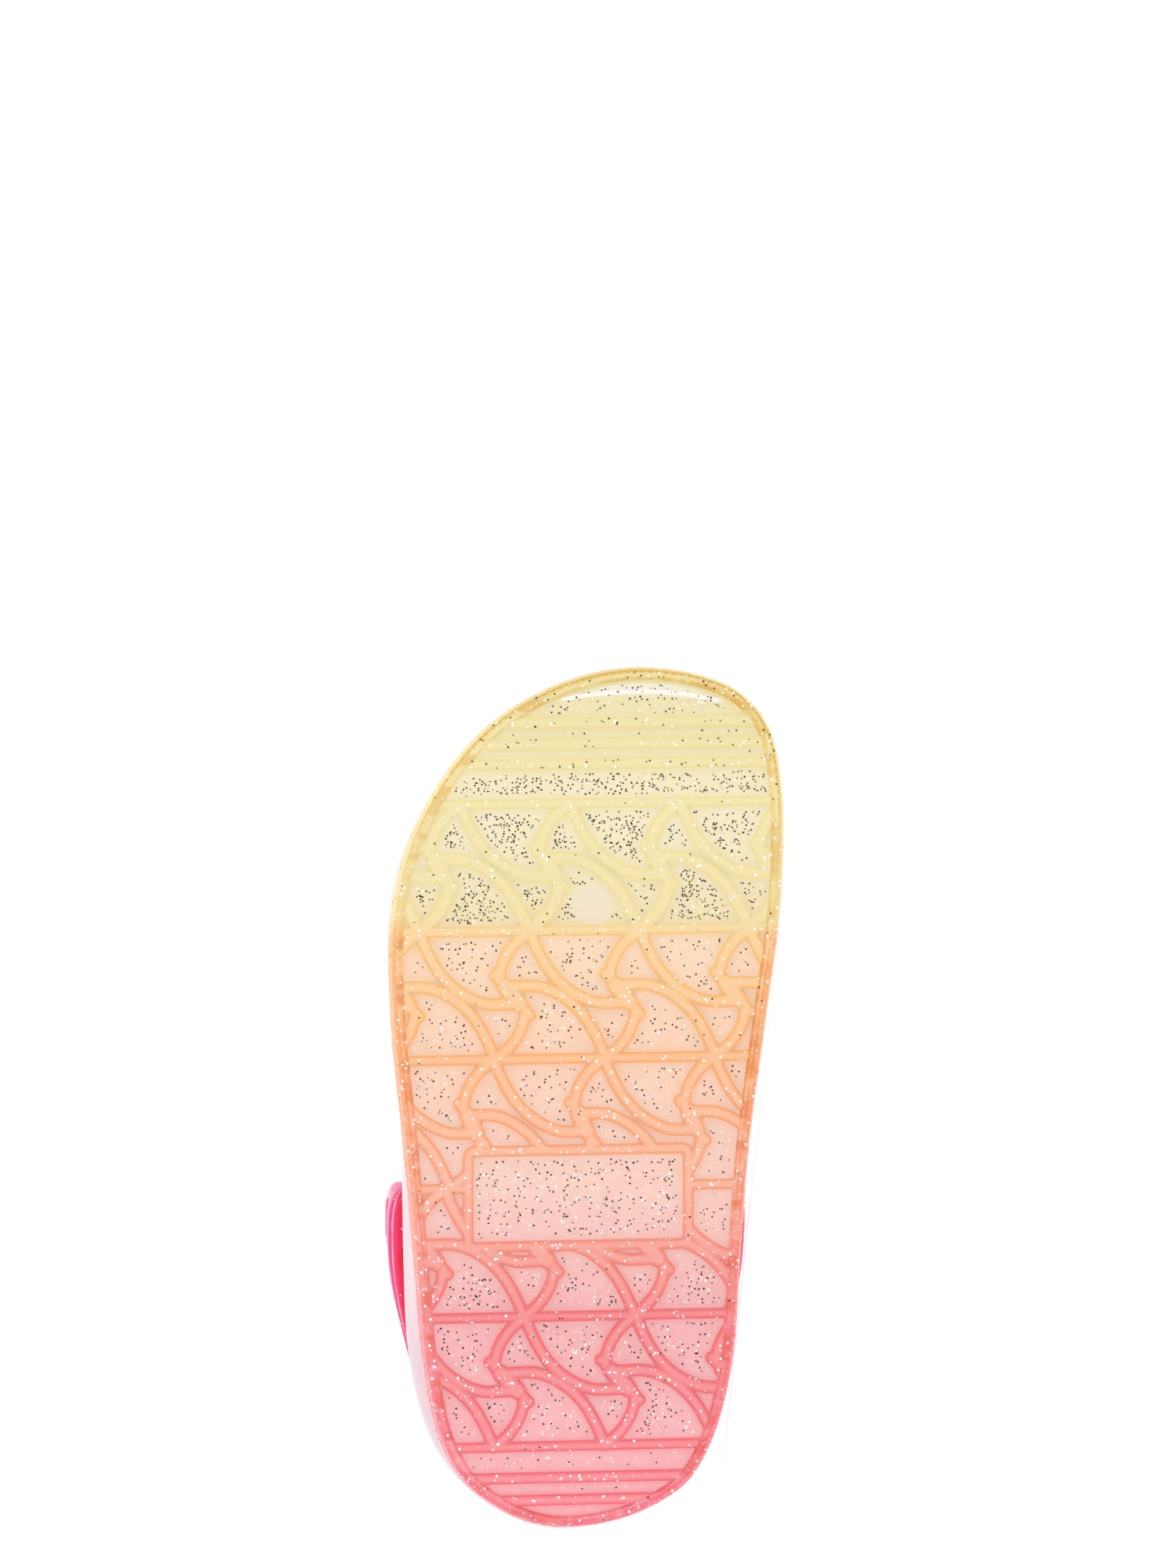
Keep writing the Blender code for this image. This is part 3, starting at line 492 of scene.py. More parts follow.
class Shading:
    """A new material, and the few kinds of node that the pieces here need."""

    def __init__(self, name, **values):
        self.material = bpy.data.materials.new(name)
        self.material.use_nodes = True
        self.nodes, self.links = self.material.node_tree.nodes, self.material.node_tree.links
        self.shader = self.nodes["Principled BSDF"]
        for socket, value in values.items():
            self.set(socket, value)

    def feed(self, socket, value):
        if isinstance(value, bpy.types.NodeSocket):
            self.links.new(value, socket)
        else:
            socket.default_value = value

    def set(self, name, value):
        """Sets or links one of the shader's own sockets."""
        self.feed(self.shader.inputs[name.replace("_", " ")], value)

    def node(self, kind, output, **values):
        made = self.nodes.new("ShaderNode" + kind)
        for name, value in values.items():
            self.feed(made.inputs[name.replace("_", " ")], value)
        return made, made.outputs[output]

    def field(self, name, output="Fac"):
        """A value, or a colour, that the piece's points carry."""
        made, result = self.node("Attribute", output)
        made.attribute_name = name
        return result

    def place(self, stretch):
        _, spot = self.node("TexCoord", "Object")
        return self.node("Mapping", "Vector", Vector=spot, Scale=stretch)[1]

    def noise(self, scale, stretch=(1, 1, 1)):
        return self.node("TexNoise", "Fac", Vector=self.place(stretch), Scale=scale, Detail=2.0)[1]

    def lines(self, value, fineness, drift):
        """Noise in lines along which a value stays the same."""
        _, along = self.node("CombineXYZ", "Vector", X=self.scaled(value, fineness))
        made, spot = self.node("VectorMath", "Vector")
        self.feed(made.inputs[0], along)
        self.feed(made.inputs[1], self.place((drift, drift, drift)))
        return self.node("TexNoise", "Fac", Vector=spot, Scale=1.0, Detail=1.0)[1]

    def maths(self, operation, *values):
        made, result = self.node("Math", "Value")
        made.operation = operation
        for socket, value in zip(made.inputs, values):
            self.feed(socket, value)
        return result

    def scaled(self, value, factor):
        return self.maths("MULTIPLY", value, factor)

    def ranged(self, value, low, high, first=0.0, second=1.0):
        """A value brought from one range to another by a smooth step."""
        made, result = self.node(
            "MapRange", "Result", Value=value,
            From_Min=low, From_Max=high, To_Min=first, To_Max=second,
        )
        made.interpolation_type = "SMOOTHSTEP"
        return result

    def peak(self, value, middle, reach, height=1.0):
        """A line of some strength where a value is near its middle."""
        away = self.maths("ABSOLUTE", self.maths("SUBTRACT", value, middle))
        return self.ranged(away, 0.0, reach, height, 0.0)

    def blend(self, share, first, second):
        """The first colour, with a share of the second."""
        made = self.nodes.new("ShaderNodeMix")
        made.data_type = "RGBA"
        for number, value in ((0, share), (6, first), (7, second)):
            self.feed(made.inputs[number], value)
        return made.outputs[2]

    def layered(self, colour, *layers):
        """A colour with others over it, each with the share that it covers."""
        for share, over in layers:
            colour = self.blend(share, colour, over)
        return colour

    def ramp(self, value, stops):
        """A colour from a few stops, each a place between 0 and 1 and a colour."""
        made, result = self.node("ValToRGB", "Color", Fac=value)
        band = made.color_ramp.elements
        while len(band) < len(stops):
            band.new(1.0)
        for element, (place, colour) in zip(band, stops):
            element.position, element.color = place, colour
        return result

    def finished(self, colour, glow, gloss, bumps):
        """The material of a translucent piece, part of whose colour shines from within."""
        self.set("Base_Color", colour)
        self.set("Emission_Color", colour)
        self.set("Emission_Strength", glow / (1 - glow))
        self.set("Roughness", gloss)
        height = self.noise(260.0)
        _, normal = self.node("Bump", "Normal", Height=height, Strength=bumps, Distance=0.4 * MM)
        self.set("Normal", normal)
        return self.material


def solid(colour, glow=0.0, lift=1.0):
    """A photo colour as the shader's, without the gloss and the glow that are added to it."""
    bare = np.clip(linear(colour) * lift - SHEEN, 0.004, 1) * (1 - glow)
    return (*bare, 1.0)


def jelly_values(roughness, scatter, radius, clear=0.0, coat=0.4):
    return dict(
        Roughness=roughness, IOR=1.45, Subsurface_Weight=scatter, Subsurface_Radius=(1.0, 0.8, 0.7),
        Subsurface_Scale=radius * MM, Transmission_Weight=clear, Coat_Weight=coat, Coat_Roughness=0.08,
    )


def sole_material():
    """Glitter jelly: pale pockets, richer ribs and rim with dark lines along their edges; on the ribs
    these lines and their paler middles are painted shading, and the toe has painted highlights.
    """
    made = Shading("sole_jelly", **jelly_values(0.2, 0.3, 3.0))
    along, relief, rim = made.field("along"), made.field("relief"), made.field("rim")

    def palette(name, lift=1.0, shade=(1, 1, 1)):
        tints = [solid(np.multiply(getattr(row, name), shade), GLOW, lift) for row in TINTS]
        return made.ramp(along, [(row.along / SOLE_LENGTH, tint) for row, tint in zip(TINTS, tints)])

    # line is the colour of the painted shade along the ribs' sloping sides
    pocket, rib, line = palette("pocket", POCKET_LIFT), palette("rib"), palette("line")
    edge, deep = palette("rim"), palette("rim", shade=DASH_SHADE)
    haze = made.noise(420.0)
    floor = made.blend(made.ranged(haze, 0.35, 0.7, 0.0, 0.14), pocket, rib)
    # Ribs are painted paler towards the middle and darker along their sloping sides: painted shading
    # across each rib
    raised = made.blend(made.ranged(relief, -1.2, -0.5, 0.35, 0.0), rib, pocket)

    # The rim: streaks along it, its edge, pale patches, a plainer wall, dashes, and gilt at the toe
    pale = made.blend(made.ranged(haze, 0.4, 0.6, 0.2, 0.6), rib, pocket)
    dash = made.ranged(made.lines(along, 38.0, 34.0), 0.48, 0.6, 0.0, 0.55)
    gilt = made.scaled(made.peak(rim, -1.75, 0.45, 0.9), made.ranged(along, 0.72, 0.9))
    band = made.layered(
        pale,
        (made.ranged(made.lines(rim, 2.4, 25.0), 0.35, 0.65, 0.1, 0.85), edge),
        (made.peak(rim, -0.25, 0.35, 0.45), edge),
        (made.ranged(made.noise(330.0), 0.5, 0.62, 0.0, 0.5), pale),
        (made.ranged(rim, -6.0, -3.0, 0.8, 0.0), rib),
        (made.scaled(dash, made.ranged(rim, -1.7, -1.3)), deep),
        (gilt, solid(GILT, GLOW)),
    )

    # All of it: pockets, painted shade lines along ribs, the painted highlight on the toe's ridge and
    # near the toe's rim, rim, wall lines, the gate's disc, dust
    # bright is the colour of the painted highlights at the toe: on its ridge, and near its rim
    bright, disc = solid(RIDGE_HIGHLIGHT, GLOW), solid(GATE_DISC, GLOW, POCKET_LIFT)
    # beyond: a painted highlight near the toe, inside its rim
    beyond = made.scaled(made.ranged(rim, 0.2, 1.0), made.ranged(along, 0.958, 0.975, 0.0, 0.6))
    _, away = made.node("TexVoronoi", "Distance", Vector=made.place((1, 1, 1)), Scale=620.0)
    tint = made.layered(
        raised,
        (made.ranged(relief, -0.32, 0.02), floor),
        # painted shade along the ribs' sloping sides
        (made.peak(relief, -0.28, 0.42, 0.4), line),
        # painted highlight on the toe's ridge
        (made.ranged(made.field("ridge"), 0.1, 0.8, 0.0, 0.9), bright),
        # painted highlight near the toe's rim
        (beyond, bright),
        (made.ranged(rim, -0.1, 0.1, 1.0, 0.0), band),
        (made.field("line"), edge),
        (made.ranged(made.field("gate"), -0.25, 0.1, 0.8, 0.0), disc),
        (made.ranged(away, 0.07, 0.13, 0.5, 0.0), solid(DUST, GLOW)),
    )
    return made.finished(tint, GLOW, made.ranged(haze, 0.3, 0.7, 0.14, 0.3), 0.1)


def two_tone(name, first, second, scale, glow, values, rough):
    """Plain jelly with soft clouds of a second colour and uneven gloss."""
    made = Shading(name, **values)
    cloud = made.noise(scale)
    tint = made.blend(made.ranged(cloud, 0.3, 0.7), solid(first, glow), solid(second, glow))
    return made.finished(tint, glow, made.ranged(cloud, 0.3, 0.7, *rough), 0.12)


def upper_material():
    """Milky jelly, a little pinker round the heel, with faint streaks along the shoe."""
    made = Shading("upper_milky", **jelly_values(0.18, 0.4, 4.0, 0.1, 0.5))
    _, spot = made.node("TexCoord", "Object")
    _, along = made.node("SeparateXYZ", "X", Vector=spot)
    milk = made.blend(made.ranged(along, -0.075, 0.02), solid(UPPER_HEEL), solid(UPPER_MILK))
    streak = made.noise(900.0, (0.06, 1, 1))
    milk = made.blend(made.ranged(streak, 0.35, 0.7, 0.0, 0.35), milk, solid(UPPER_STREAK))
    return made.finished(milk, 0.0, made.ranged(streak, 0.3, 0.7, 0.14, 0.26), 0.1)


def strap_material():
    """Hot pink jelly under a paler outer layer that is partly painted reflection, with a painted
    highlight line where they meet.
    """
    made = Shading("strap_jelly", **jelly_values(0.14, 0.2, 2.0, 0.1, 0.6))
    layers = [(place, solid(colour, GLOW)) for place, colour in STRAP_TINTS_AND_HIGHLIGHT]
    cloud = made.noise(180.0)
    tint = made.ramp(made.field("outside"), layers)
    tint = made.blend(made.ranged(cloud, 0.35, 0.7, 0.0, 0.3), tint, solid(STRAP_CLOUD, GLOW))
    return made.finished(tint, GLOW, made.ranged(cloud, 0.3, 0.7, 0.1, 0.22), 0.1)


def flake_material(name, roughness):
    """Thin foil, with a colour of its own for each flake."""
    made = Shading(name, Roughness=roughness, Metallic=0.1)
    made.set("Base_Color", made.field("tint", "Color"))
    return made.material


# Tread


def smooth_line(points, steps=4):
    """A smooth plan line through a few points."""
    points = np.asarray(points, float)
    keys = np.concatenate([[0], np.cumsum(np.linalg.norm(np.diff(points, axis=0), axis=1))])
    spots = np.linspace(0, keys[-1], steps * (len(points) - 1) + 1)
    return np.column_stack([smooth_curve(keys, points[:, i])(spots) for i in (0, 1)])


def fin_points(points, along, across, way):
    """Plan points of a fin that hangs back from a rib, way -1, or rises ahead of it, way 1."""
    return [slanted(along + way * p.back, across - way * p.across) for p in points]


def tread_segments():
    """Straight pieces of all the ribs and fins: start, end and half width."""
    side = SOLE_LENGTH / 2
    straight = [(rib.along, RIB_WIDTH) for rib in RIBS]
    straight += [(along, BAR_WIDTH) for along in (*HEEL_BARS, *TOE_BARS)]
    lines = [((slanted(a, -side), slanted(a, side)), width) for a, width in straight]
    count = math.ceil(SOLE_LENGTH / FIN_PITCH)
    for heel_rib, toe_rib in zip(RIBS, RIBS[1:]):
        reach = FIN_PITCH + FRONT_REACH - (toe_rib.hanging - heel_rib.rising)
        front = [FinPoint(min(p.across, reach), p.back) for p in FIN_FRONT]
        for shift in np.arange(-count, count + 1) * FIN_PITCH:
            hanging = toe_rib.along, toe_rib.hanging + shift, -1
            rising = heel_rib.along, heel_rib.rising + shift, 1
            for edge in (front, FIN_BACK):
                for fin in (hanging, rising):
                    lines.append((smooth_line(fin_points(edge, *fin)), FIN_WIDTH))
            ends = np.array([fin_points([FIN_NECK], *fin)[0] for fin in (hanging, rising)])
            lines.append((ends + (ends[::-1] - ends) * NECK_SHORTER, NECK_WIDTH))
            for fin in (hanging, rising):
                spot = fin_points([FIN_TOOTH], *fin)[0]
                lines.append(((spot, (spot[0] + DOT, spot[1])), 2 * FIN_TOOTH_RADIUS))
    rows = []
    for line, width in lines:
        line = np.asarray(line, float)
        rows += [(*start, *end, width / 2) for start, end in zip(line[:-1], line[1:])]
    rows = np.array(rows)
    low, high = rows[:, [1, 3]].min(axis=1), rows[:, [1, 3]].max(axis=1)
    return rows[(low < MAX_HALF_WIDTH) & (high > -MAX_HALF_WIDTH)]


def distance_to(points, segments):
    """Distance from plan points to the nearest edge of segments with their own half widths."""
    start, run = segments[:, 0:2], segments[:, 2:4] - segments[:, 0:2]
    length = np.maximum(np.sum(run * run, axis=1), 1e-9)
    found = np.empty(len(points))
    block = 2000
    for first in range(0, len(points), block):
        some = points[first:first + block, None, :]
        share = np.clip(np.sum((some - start) * run, axis=2) / length, 0, 1)
        away = np.linalg.norm(some - start - share[..., None] * run, axis=2) - segments[:, 4]
        found[first:first + block] = away.min(axis=1)
    return found


def plate_distance(points):
    """Distance from the bare plate's edge, below 0 on the plate."""
    across = points[:, 1] - PLATE_ACROSS
    along = points[:, 0] - PLATE_ALONG - points[:, 1] * math.tan(RIB_SLANT)
    beyond = np.column_stack([np.abs(along) - PLATE_LENGTH / 2, np.abs(across) - PLATE_WIDTH / 2])
    outside = np.linalg.norm(np.maximum(beyond, 0), axis=1)
    return outside + np.minimum(beyond.max(axis=1), 0)


def tread_relief(points, edge):
    """Distance outside ribs and rim for plan points; below 0 on what stands up."""
    ribs = distance_to(points, tread_segments())
    every_third = edge_segments(edge)[::3]  # near enough, and much quicker
    rim = distance_to(points, every_third) - RIM_WIDTH
    plate = plate_distance(points)
    inner = np.maximum(np.minimum(ribs, plate - FRAME_WIDTH), -plate)
    return np.minimum(inner, rim), rim


def make_sole():
    """The sole: relief of the tread, stepped wall, and the cup inside."""
    angles = even_angles(SOLE_ROWS)
    around = len(angles)
    edge = ring_at(angles, SIDE[0].inset, tread_height)
    plan = plan_grid(edge, SOLE_COLUMNS)
    relief, rim = tread_relief(plan, edge[:, :2])
    share_deep = np.interp(plan[:, 0], TOE_DEPTH_ALONG, (1, TOE_DEPTH))
    depth = POCKET_DEPTH * eased(*POCKET_SIDE, relief) * share_deep
    gate = np.hypot(plan[:, 0] - GATE_ALONG, plan[:, 1] - GATE_ACROSS) - GATE_RADIUS
    depth = np.minimum(depth, GATE_DEPTH + (POCKET_DEPTH - GATE_DEPTH) * eased(*GATE_SIDE, gate))
    aside = (plan[:, 1] - RIDGE_ACROSS) / RIDGE_REACH
    ahead = plan[:, 0] - RIDGE_ALONG + RIDGE_FALL * aside**2
    ridge = eased(RIDGE_HALF_WIDTH, 0.0, np.abs(ahead)) * eased(1.0, RIDGE_FADE, np.abs(aside))
    ridge = ridge * eased(0.0, RIDGE_CLEAR, rim)
    depth = depth - RIDGE_HEIGHT * ridge
    tread = np.column_stack([plan, tread_height(plan[:, 0]) + depth])

    wall, lines = [], []
    for inset, share_up, line in rounded(SIDE, 1):
        foot = ring_at(angles, inset, tread_height)
        foot[:, 2] += share_up * wall_height(turn_of(foot[:, 0]))
        wall.append(foot)
        lines.append(line)
    outside = len(wall)
    for inset, height, lift in (
        (CUP_INSET, wall_top, 0.0),
        (CUP_INSET + CUP_EDGE_INSET, wall_top, -CUP_EDGE_DROP),
        (CUP_FOOT_INSET, floor_top, CUP_FILLET),
        (FLOOR_INSET, floor_top, 0.0),
    ):
        wall.append(ring_at(angles, inset, height) + (0, 0, lift))
        lines.append(0.0)
    points, start = np.vstack([tread, *wall]), len(tread)
    beyond = np.zeros(len(points) - start)
    climb = points[start:, 2] - tread_height(points[start:, 0])
    piece = mesh_object(
        "sole_jelly", points, bed_faces(SOLE_ROWS, SOLE_COLUMNS, len(wall)), sole_material(),
        along=points[:, 0] / SOLE_LENGTH,
        relief=np.concatenate([relief, beyond + WALL_RELIEF]),
        rim=np.concatenate([rim, -RIM_WIDTH - climb]),
        gate=np.concatenate([gate, beyond + GATE_RADIUS]),
        ridge=np.concatenate([ridge, beyond]),
        line=np.concatenate([np.zeros(start), np.repeat(lines, around)]),
    )
    own(piece, "outsole", "outsole")
    return tread, relief, gate, wall[:outside]


# Glitter

FLAKE_LIFT, FLAKE_TILT, FLAKE_SHIFT = 0.06, 0.16, 0.2
FlakeKind = namedtuple("FlakeKind", "count smallest largest first second roughness")
WHITE_FLAKES = FlakeKind(800, 0.15, 0.31, (255, 255, 255), (250, 245, 238), 0.25)
SILVER_FLAKES = FlakeKind(2600, 0.11, 0.22, (255, 252, 255), (188, 192, 212), 0.3)
DARK_FLAKES = FlakeKind(2150, 0.14, 0.23, (26, 17, 12), (72, 46, 30), 0.6)
WALL_FLAKES = FlakeKind(800, 0.15, 0.30, (255, 255, 255), (240, 232, 226), 0.25)
STRAP_FLAKES = FlakeKind(500, 0.13, 0.26, (255, 240, 246), (250, 170, 210), 0.25)

# How thickly dark flakes lie: places along the sole, and the share at each
DARK_IN_POCKETS = [
    (14, 0.3), (22, 1.0), (50, 1.15), (56, 0.9), (112, 0.9), (117, 3.2), (144, 3.2), (148, 0.9),
]
DARK_ON_RIBS = [(144, 0.04), (148, 0.5)]
DARK_ON_PLATE = 1.15  # against the pockets beside it
CLUMP_LEAST, CLUMP_MORE = 0.8, 0.6
WHITE_ON_RIBS, WHITE_IN_POCKETS, SILVER_ON_RIBS = 1.4, 0.5, 0.35
BARE_MIDDLE, BARE_HALF = 0.1, 0.6  # band along a rib's edge, where it slopes, without flakes
BARE_GATE = 0.3  # there are none on the gate's disc either, or this near it


def flakes(name, centres, normals, kind, slot):
    """Small hexagons, laid on a surface with a little tilt, as one piece."""
    count = len(centres)
    normals = unit(normals + RANDOM.normal(0, FLAKE_TILT, (count, 3)))
    first = unit(np.cross(normals, RANDOM.normal(0, 1, (count, 3))))
    second = np.cross(normals, first)
    radius = RANDOM.uniform(kind.smallest, kind.largest, count)[:, None]
    corners = []
    for k in range(6):
        turn = k * math.pi / 3
        corners.append(centres + radius * (first * math.cos(turn) + second * math.sin(turn)))
    points = np.stack(corners, axis=1).reshape(-1, 3)
    share = RANDOM.uniform(0, 1, (count, 1))
    tints = linear(kind.first) * (1 - share) + linear(kind.second) * share
    data = bpy.data.meshes.new(name)
    data.from_pydata(laid(points).tolist(), [], np.arange(count * 6).reshape(count, 6).tolist())
    layer = data.color_attributes.new("tint", "FLOAT_COLOR", "POINT")
    colours = np.column_stack([np.repeat(tints, 6, axis=0), np.ones(count * 6)])
    layer.data.foreach_set("color", colours.ravel())
    data.materials.append(flake_material(name, kind.roughness))
    own(linked(name, data), slot)


def make_sole_glitter(tread, relief, gate, wall):
    """Flakes on the flat parts of the tread, by their kind, and on the wall round it."""
    grid = tread.reshape(SOLE_ROWS + 1, SOLE_COLUMNS + 1, 3)
    facing = np.cross(np.gradient(grid, axis=0), np.gradient(grid, axis=1)).reshape(-1, 3)
    area = np.linalg.norm(facing, axis=1)
    facing = np.where(facing[:, 2:] > 0, -facing, facing) / (area[:, None] + 1e-12)
    along, across = tread[:, 0], tread[:, 1]
    flat = area * (np.abs(relief - BARE_MIDDLE) > BARE_HALF) * (gate > BARE_GATE)
    raised = relief < 0
    waves = np.sin(along * 0.31 + across * 0.17) ** 2 * np.cos(across * 0.23 - along * 0.11) ** 2
    clump = CLUMP_LEAST + CLUMP_MORE * waves  # about 9 to 12 mm apart
    crowd = np.interp(along, *zip(*DARK_IN_POCKETS))
    on_ribs = np.interp(along, *zip(*DARK_ON_RIBS))
    crowd = crowd * np.where(plate_distance(tread[:, :2]) < 0, DARK_ON_PLATE, 1.0)
    for name, kind, weight in (
        ("sole_glitter_white", WHITE_FLAKES, flat * np.where(raised, WHITE_ON_RIBS, WHITE_IN_POCKETS)),
        ("sole_glitter_silver", SILVER_FLAKES, flat * np.where(raised, SILVER_ON_RIBS, 1.0)),
        ("sole_glitter_dark", DARK_FLAKES, flat * np.where(raised, on_ribs, clump * crowd)),
    ):
        picked = RANDOM.choice(len(tread), kind.count, replace=False, p=weight / weight.sum())
        shift = RANDOM.uniform(-FLAKE_SHIFT, FLAKE_SHIFT, (kind.count, 3)) * (1, 1, 0)
        spots = tread[picked] + shift + facing[picked] * FLAKE_LIFT
        flakes(name, spots, facing[picked], kind, "outsole")
    side = np.stack(wall)
    out = np.cross(np.gradient(side, axis=1), np.gradient(side, axis=0))
    size = np.linalg.norm(out, axis=2, keepdims=True)
    out = (out / (size + 1e-12)).reshape(-1, 3)
    picked = RANDOM.choice(size.size, WALL_FLAKES.count, p=size.ravel() / size.sum())
    spots = side.reshape(-1, 3)[picked] + out[picked] * FLAKE_LIFT
    flakes("sole_wall_glitter", spots, out[picked], WALL_FLAKES, "outsole")


# Upper


def upper_point(angle, rise):
    """Outer surface of the upper, by angle round the shoe and rise from foot to topline."""
    turn, side = folded(angle)
    foot = outline_at(angle) - UPPER_INSET * outward_at(angle)
    foot_height = wall_top(foot[..., 0]) + GAP
    along = topline["along"](turn)
    across = centre_line(turn_of(along)) + side * topline["half_width"](turn)
    arch = np.radians(topline["turn"](turn))
    start, end = np.cos(rise * arch) ** CROWN_POWER, np.cos(arch) ** CROWN_POWER
    inwards = (1 - start) / (1 - end)
    upwards = (np.sin(rise * arch) / np.sin(arch)) ** CROWN_POWER
    bulge = np.where(side < 0, topline["outer_bulge"](turn), topline["inner_bulge"](turn))
    bulge = bulge * np.sin(math.pi * np.clip(upwards / BULGE_TOP, 0, 1))
    plan = foot + outward_at(angle) * bulge[..., None]
    plan = plan + (np.stack([along, across], axis=-1) - foot) * inwards[..., None]
    height = foot_height + (topline["height"](turn) - foot_height) * upwards
    return np.concatenate([plan, height[..., None]], axis=-1)


def upper_normal(angle, rise):
    step = 0.01
    around = upper_point(angle + step, rise) - upper_point(angle - step, rise)
    low, high = np.maximum(rise - step, 0.0), np.minimum(rise + step, 1.0)
    return unit(np.cross(around, upper_point(angle, high) - upper_point(angle, low)))


def with_bosses(points):
    """The upper's outer points, brought out to the strap round each rivet."""
    points = points.copy()
    away = np.hypot(points[..., 0] - PIVOT_ALONG, points[..., 2] - PIVOT_HEIGHT)
    share = np.clip((BOSS_EDGE - away) / (BOSS_EDGE - BOSS_RADIUS), 0, 1)
    share = share * share * (3 - 2 * share)
    for side in (-1, 1):
        reach = side * points[..., 1]
        short = np.maximum(strap_seat(side) - GAP - reach, 0)
        points[..., 1] += side * np.where(reach > 0, share * short, 0)
    return points


def make_upper():
    """The shell: its outside, a rounded lip, its inside, and vents cut through it."""
    angles = np.arange(UPPER_AROUND) * 2 * math.pi / UPPER_AROUND
    rises = np.linspace(0, 1, UPPER_RINGS + 1) ** RING_CROWDING
    angle, rise = np.meshgrid(angles, rises)
    outer = upper_point(angle, rise)
    inner = outer - UPPER_WALL * upper_normal(angle, rise)
    inner[0, :, 2] = outer[0, :, 2]
    outer = with_bosses(outer)
    middle, half = (outer[-1] + inner[-1]) / 2, (outer[-1] - inner[-1]) / 2
    climb = outer[-1] - outer[-2]
    climb *= UPPER_WALL * 0.5 / np.linalg.norm(climb, axis=1, keepdims=True)
    turns = np.linspace(0, math.pi, LIP_STEPS)[1:-1]
    lip = [middle + half * math.cos(t) + climb * math.sin(t) for t in turns]
    points = np.vstack([*outer, *lip, *inner[::-1]])
    faces = ring_faces(len(outer) + len(lip) + len(inner), UPPER_AROUND, closed=True)
    piece = mesh_object("upper_shell", points, faces, upper_material())
    cutter = make_vent_cutter()
    cut = piece.modifiers.new("vents", "BOOLEAN")
    cut.operation, cut.object, cut.solver = "DIFFERENCE", cutter, "EXACT"
    apply_modifiers(piece)
    bpy.data.objects.remove(cutter)
    piece.data.shade_smooth()
    piece.data.set_sharp_from_angle(angle=SHARP_ANGLE)
    own(piece, "upper", "upper")


def apply_modifiers(piece):
    """Makes a piece's modifiers part of its mesh, and cuts up the many-sided faces they leave."""
    graph = bpy.context.evaluated_depsgraph_get()
    done = bpy.data.meshes.new_from_object(piece.evaluated_get(graph))
    work = bmesh.new()
    work.from_mesh(done)
    many_sided = [face for face in work.faces if len(face.verts) > 4]
    bmesh.ops.triangulate(work, faces=many_sided, ngon_method="BEAUTY")
    work.to_mesh(done)
    work.free()
    piece.modifiers.clear()
    piece.data = done


def make_vent_cutter():
    """Round bars square to the upper, one for each vent."""
    work = bmesh.new()
    for row in VENTS:
        for share in np.linspace(-1, 1, row.count):
            angle, rise = np.array(math.pi + share * row.spread), np.array(row.rise)
            centre = Vector(upper_point(angle, rise))
            axis = Vector(upper_normal(angle, rise))
            place = Matrix.Translation(centre) @ axis.to_track_quat("Z", "Y").to_matrix().to_4x4()
            bmesh.ops.create_cone(
                work, cap_ends=True, segments=VENT_SIDES, radius1=row.radius, radius2=row.radius,
                depth=VENT_LENGTH, matrix=place,
            )
    bmesh.ops.transform(work, matrix=LYING, verts=work.verts)
    data = bpy.data.meshes.new("vent_cutter")
    work.to_mesh(data)
    work.free()
    return linked("vent_cutter", data)


def side_reach(side, radius, pick, depth=0.0):
    """Reach to one side of the upper near a rivet, as the largest or the smallest found."""
    turns = np.linspace(0.2 * math.pi, 0.8 * math.pi, PROBE_TURNS)
    turns = turns if side < 0 else 2 * math.pi - turns
    angle, rise = np.meshgrid(turns, np.linspace(0, 1, PROBE_RISES))
    points = upper_point(angle, rise) - depth * upper_normal(angle, rise)
    away = np.hypot(points[..., 0] - PIVOT_ALONG, points[..., 2] - PIVOT_HEIGHT)
    return pick(side * points[..., 1][away < radius])


def strap_seat(side):
    """Reach to the inner face of the strap's end on one side."""
    return side_reach(side, STRAP_END_RADIUS, np.max) + GAP


# Strap, rivets and insole


def strap_sections():
    """Places along the strap: steps in its own plane, outward direction, width, thickness."""
    seats = {side: strap_seat(side) for side in (-1, 1)}
    middle, half = (seats[1] - seats[-1]) / 2, (seats[1] + seats[-1]) / 2
    rows = []
    for turn in np.linspace(STRAP_TIP_TURN, 0.5, STRAP_END_STEPS) * math.pi:
        forward = STRAP_END_RADIUS * math.cos(turn)
        width = 2 * STRAP_END_RADIUS * math.sin(turn)
        thickness = STRAP_END_THICKNESS[-1] * math.sqrt(1 - math.cos(turn) ** STRAP_TIP_POWER)
        rows.append(((forward, middle - half), (0.0, -1.0), width, thickness))
    for turn in np.linspace(-0.5, 0.5, STRAP_STEPS + 1)[1:-1] * math.pi:
        sine, cosine = math.sin(turn), math.cos(turn)
        spot = (-STRAP_REACH * cosine**STRAP_POWER, middle + half * signed_power(sine, STRAP_POWER))
        out = Vector((-half * cosine, STRAP_REACH * sine)).normalized()
        share = min(1.0, STRAP_REACH * cosine / (STRAP_EASE * STRAP_END_RADIUS))
        ease = share * share * (3 - 2 * share)
        width = 2 * STRAP_END_RADIUS + (STRAP_WIDTH - 2 * STRAP_END_RADIUS) * ease
        end = STRAP_END_THICKNESS[-1 if sine < 0 else 1]
        thickness = end + (STRAP_THICKNESS - end) * ease
        rows.append((spot, tuple(out), width, thickness))
    thinner = STRAP_END_THICKNESS[1] / STRAP_END_THICKNESS[-1]
    for (forward, across), _, width, thickness in reversed(rows[:STRAP_END_STEPS]):
        rows.append(((forward, 2 * middle - across), (0.0, 1.0), width, thickness * thinner))
    return rows


STRAP_TURNS = np.arange(STRAP_PROFILE) * 2 * math.pi / STRAP_PROFILE
# Place of each point of a section through the strap's thickness: 0 inside, 1 outside
STRAP_OUTSIDE = (1 + signed_power(np.cos(STRAP_TURNS), STRAP_FACE_POWER)) / 2


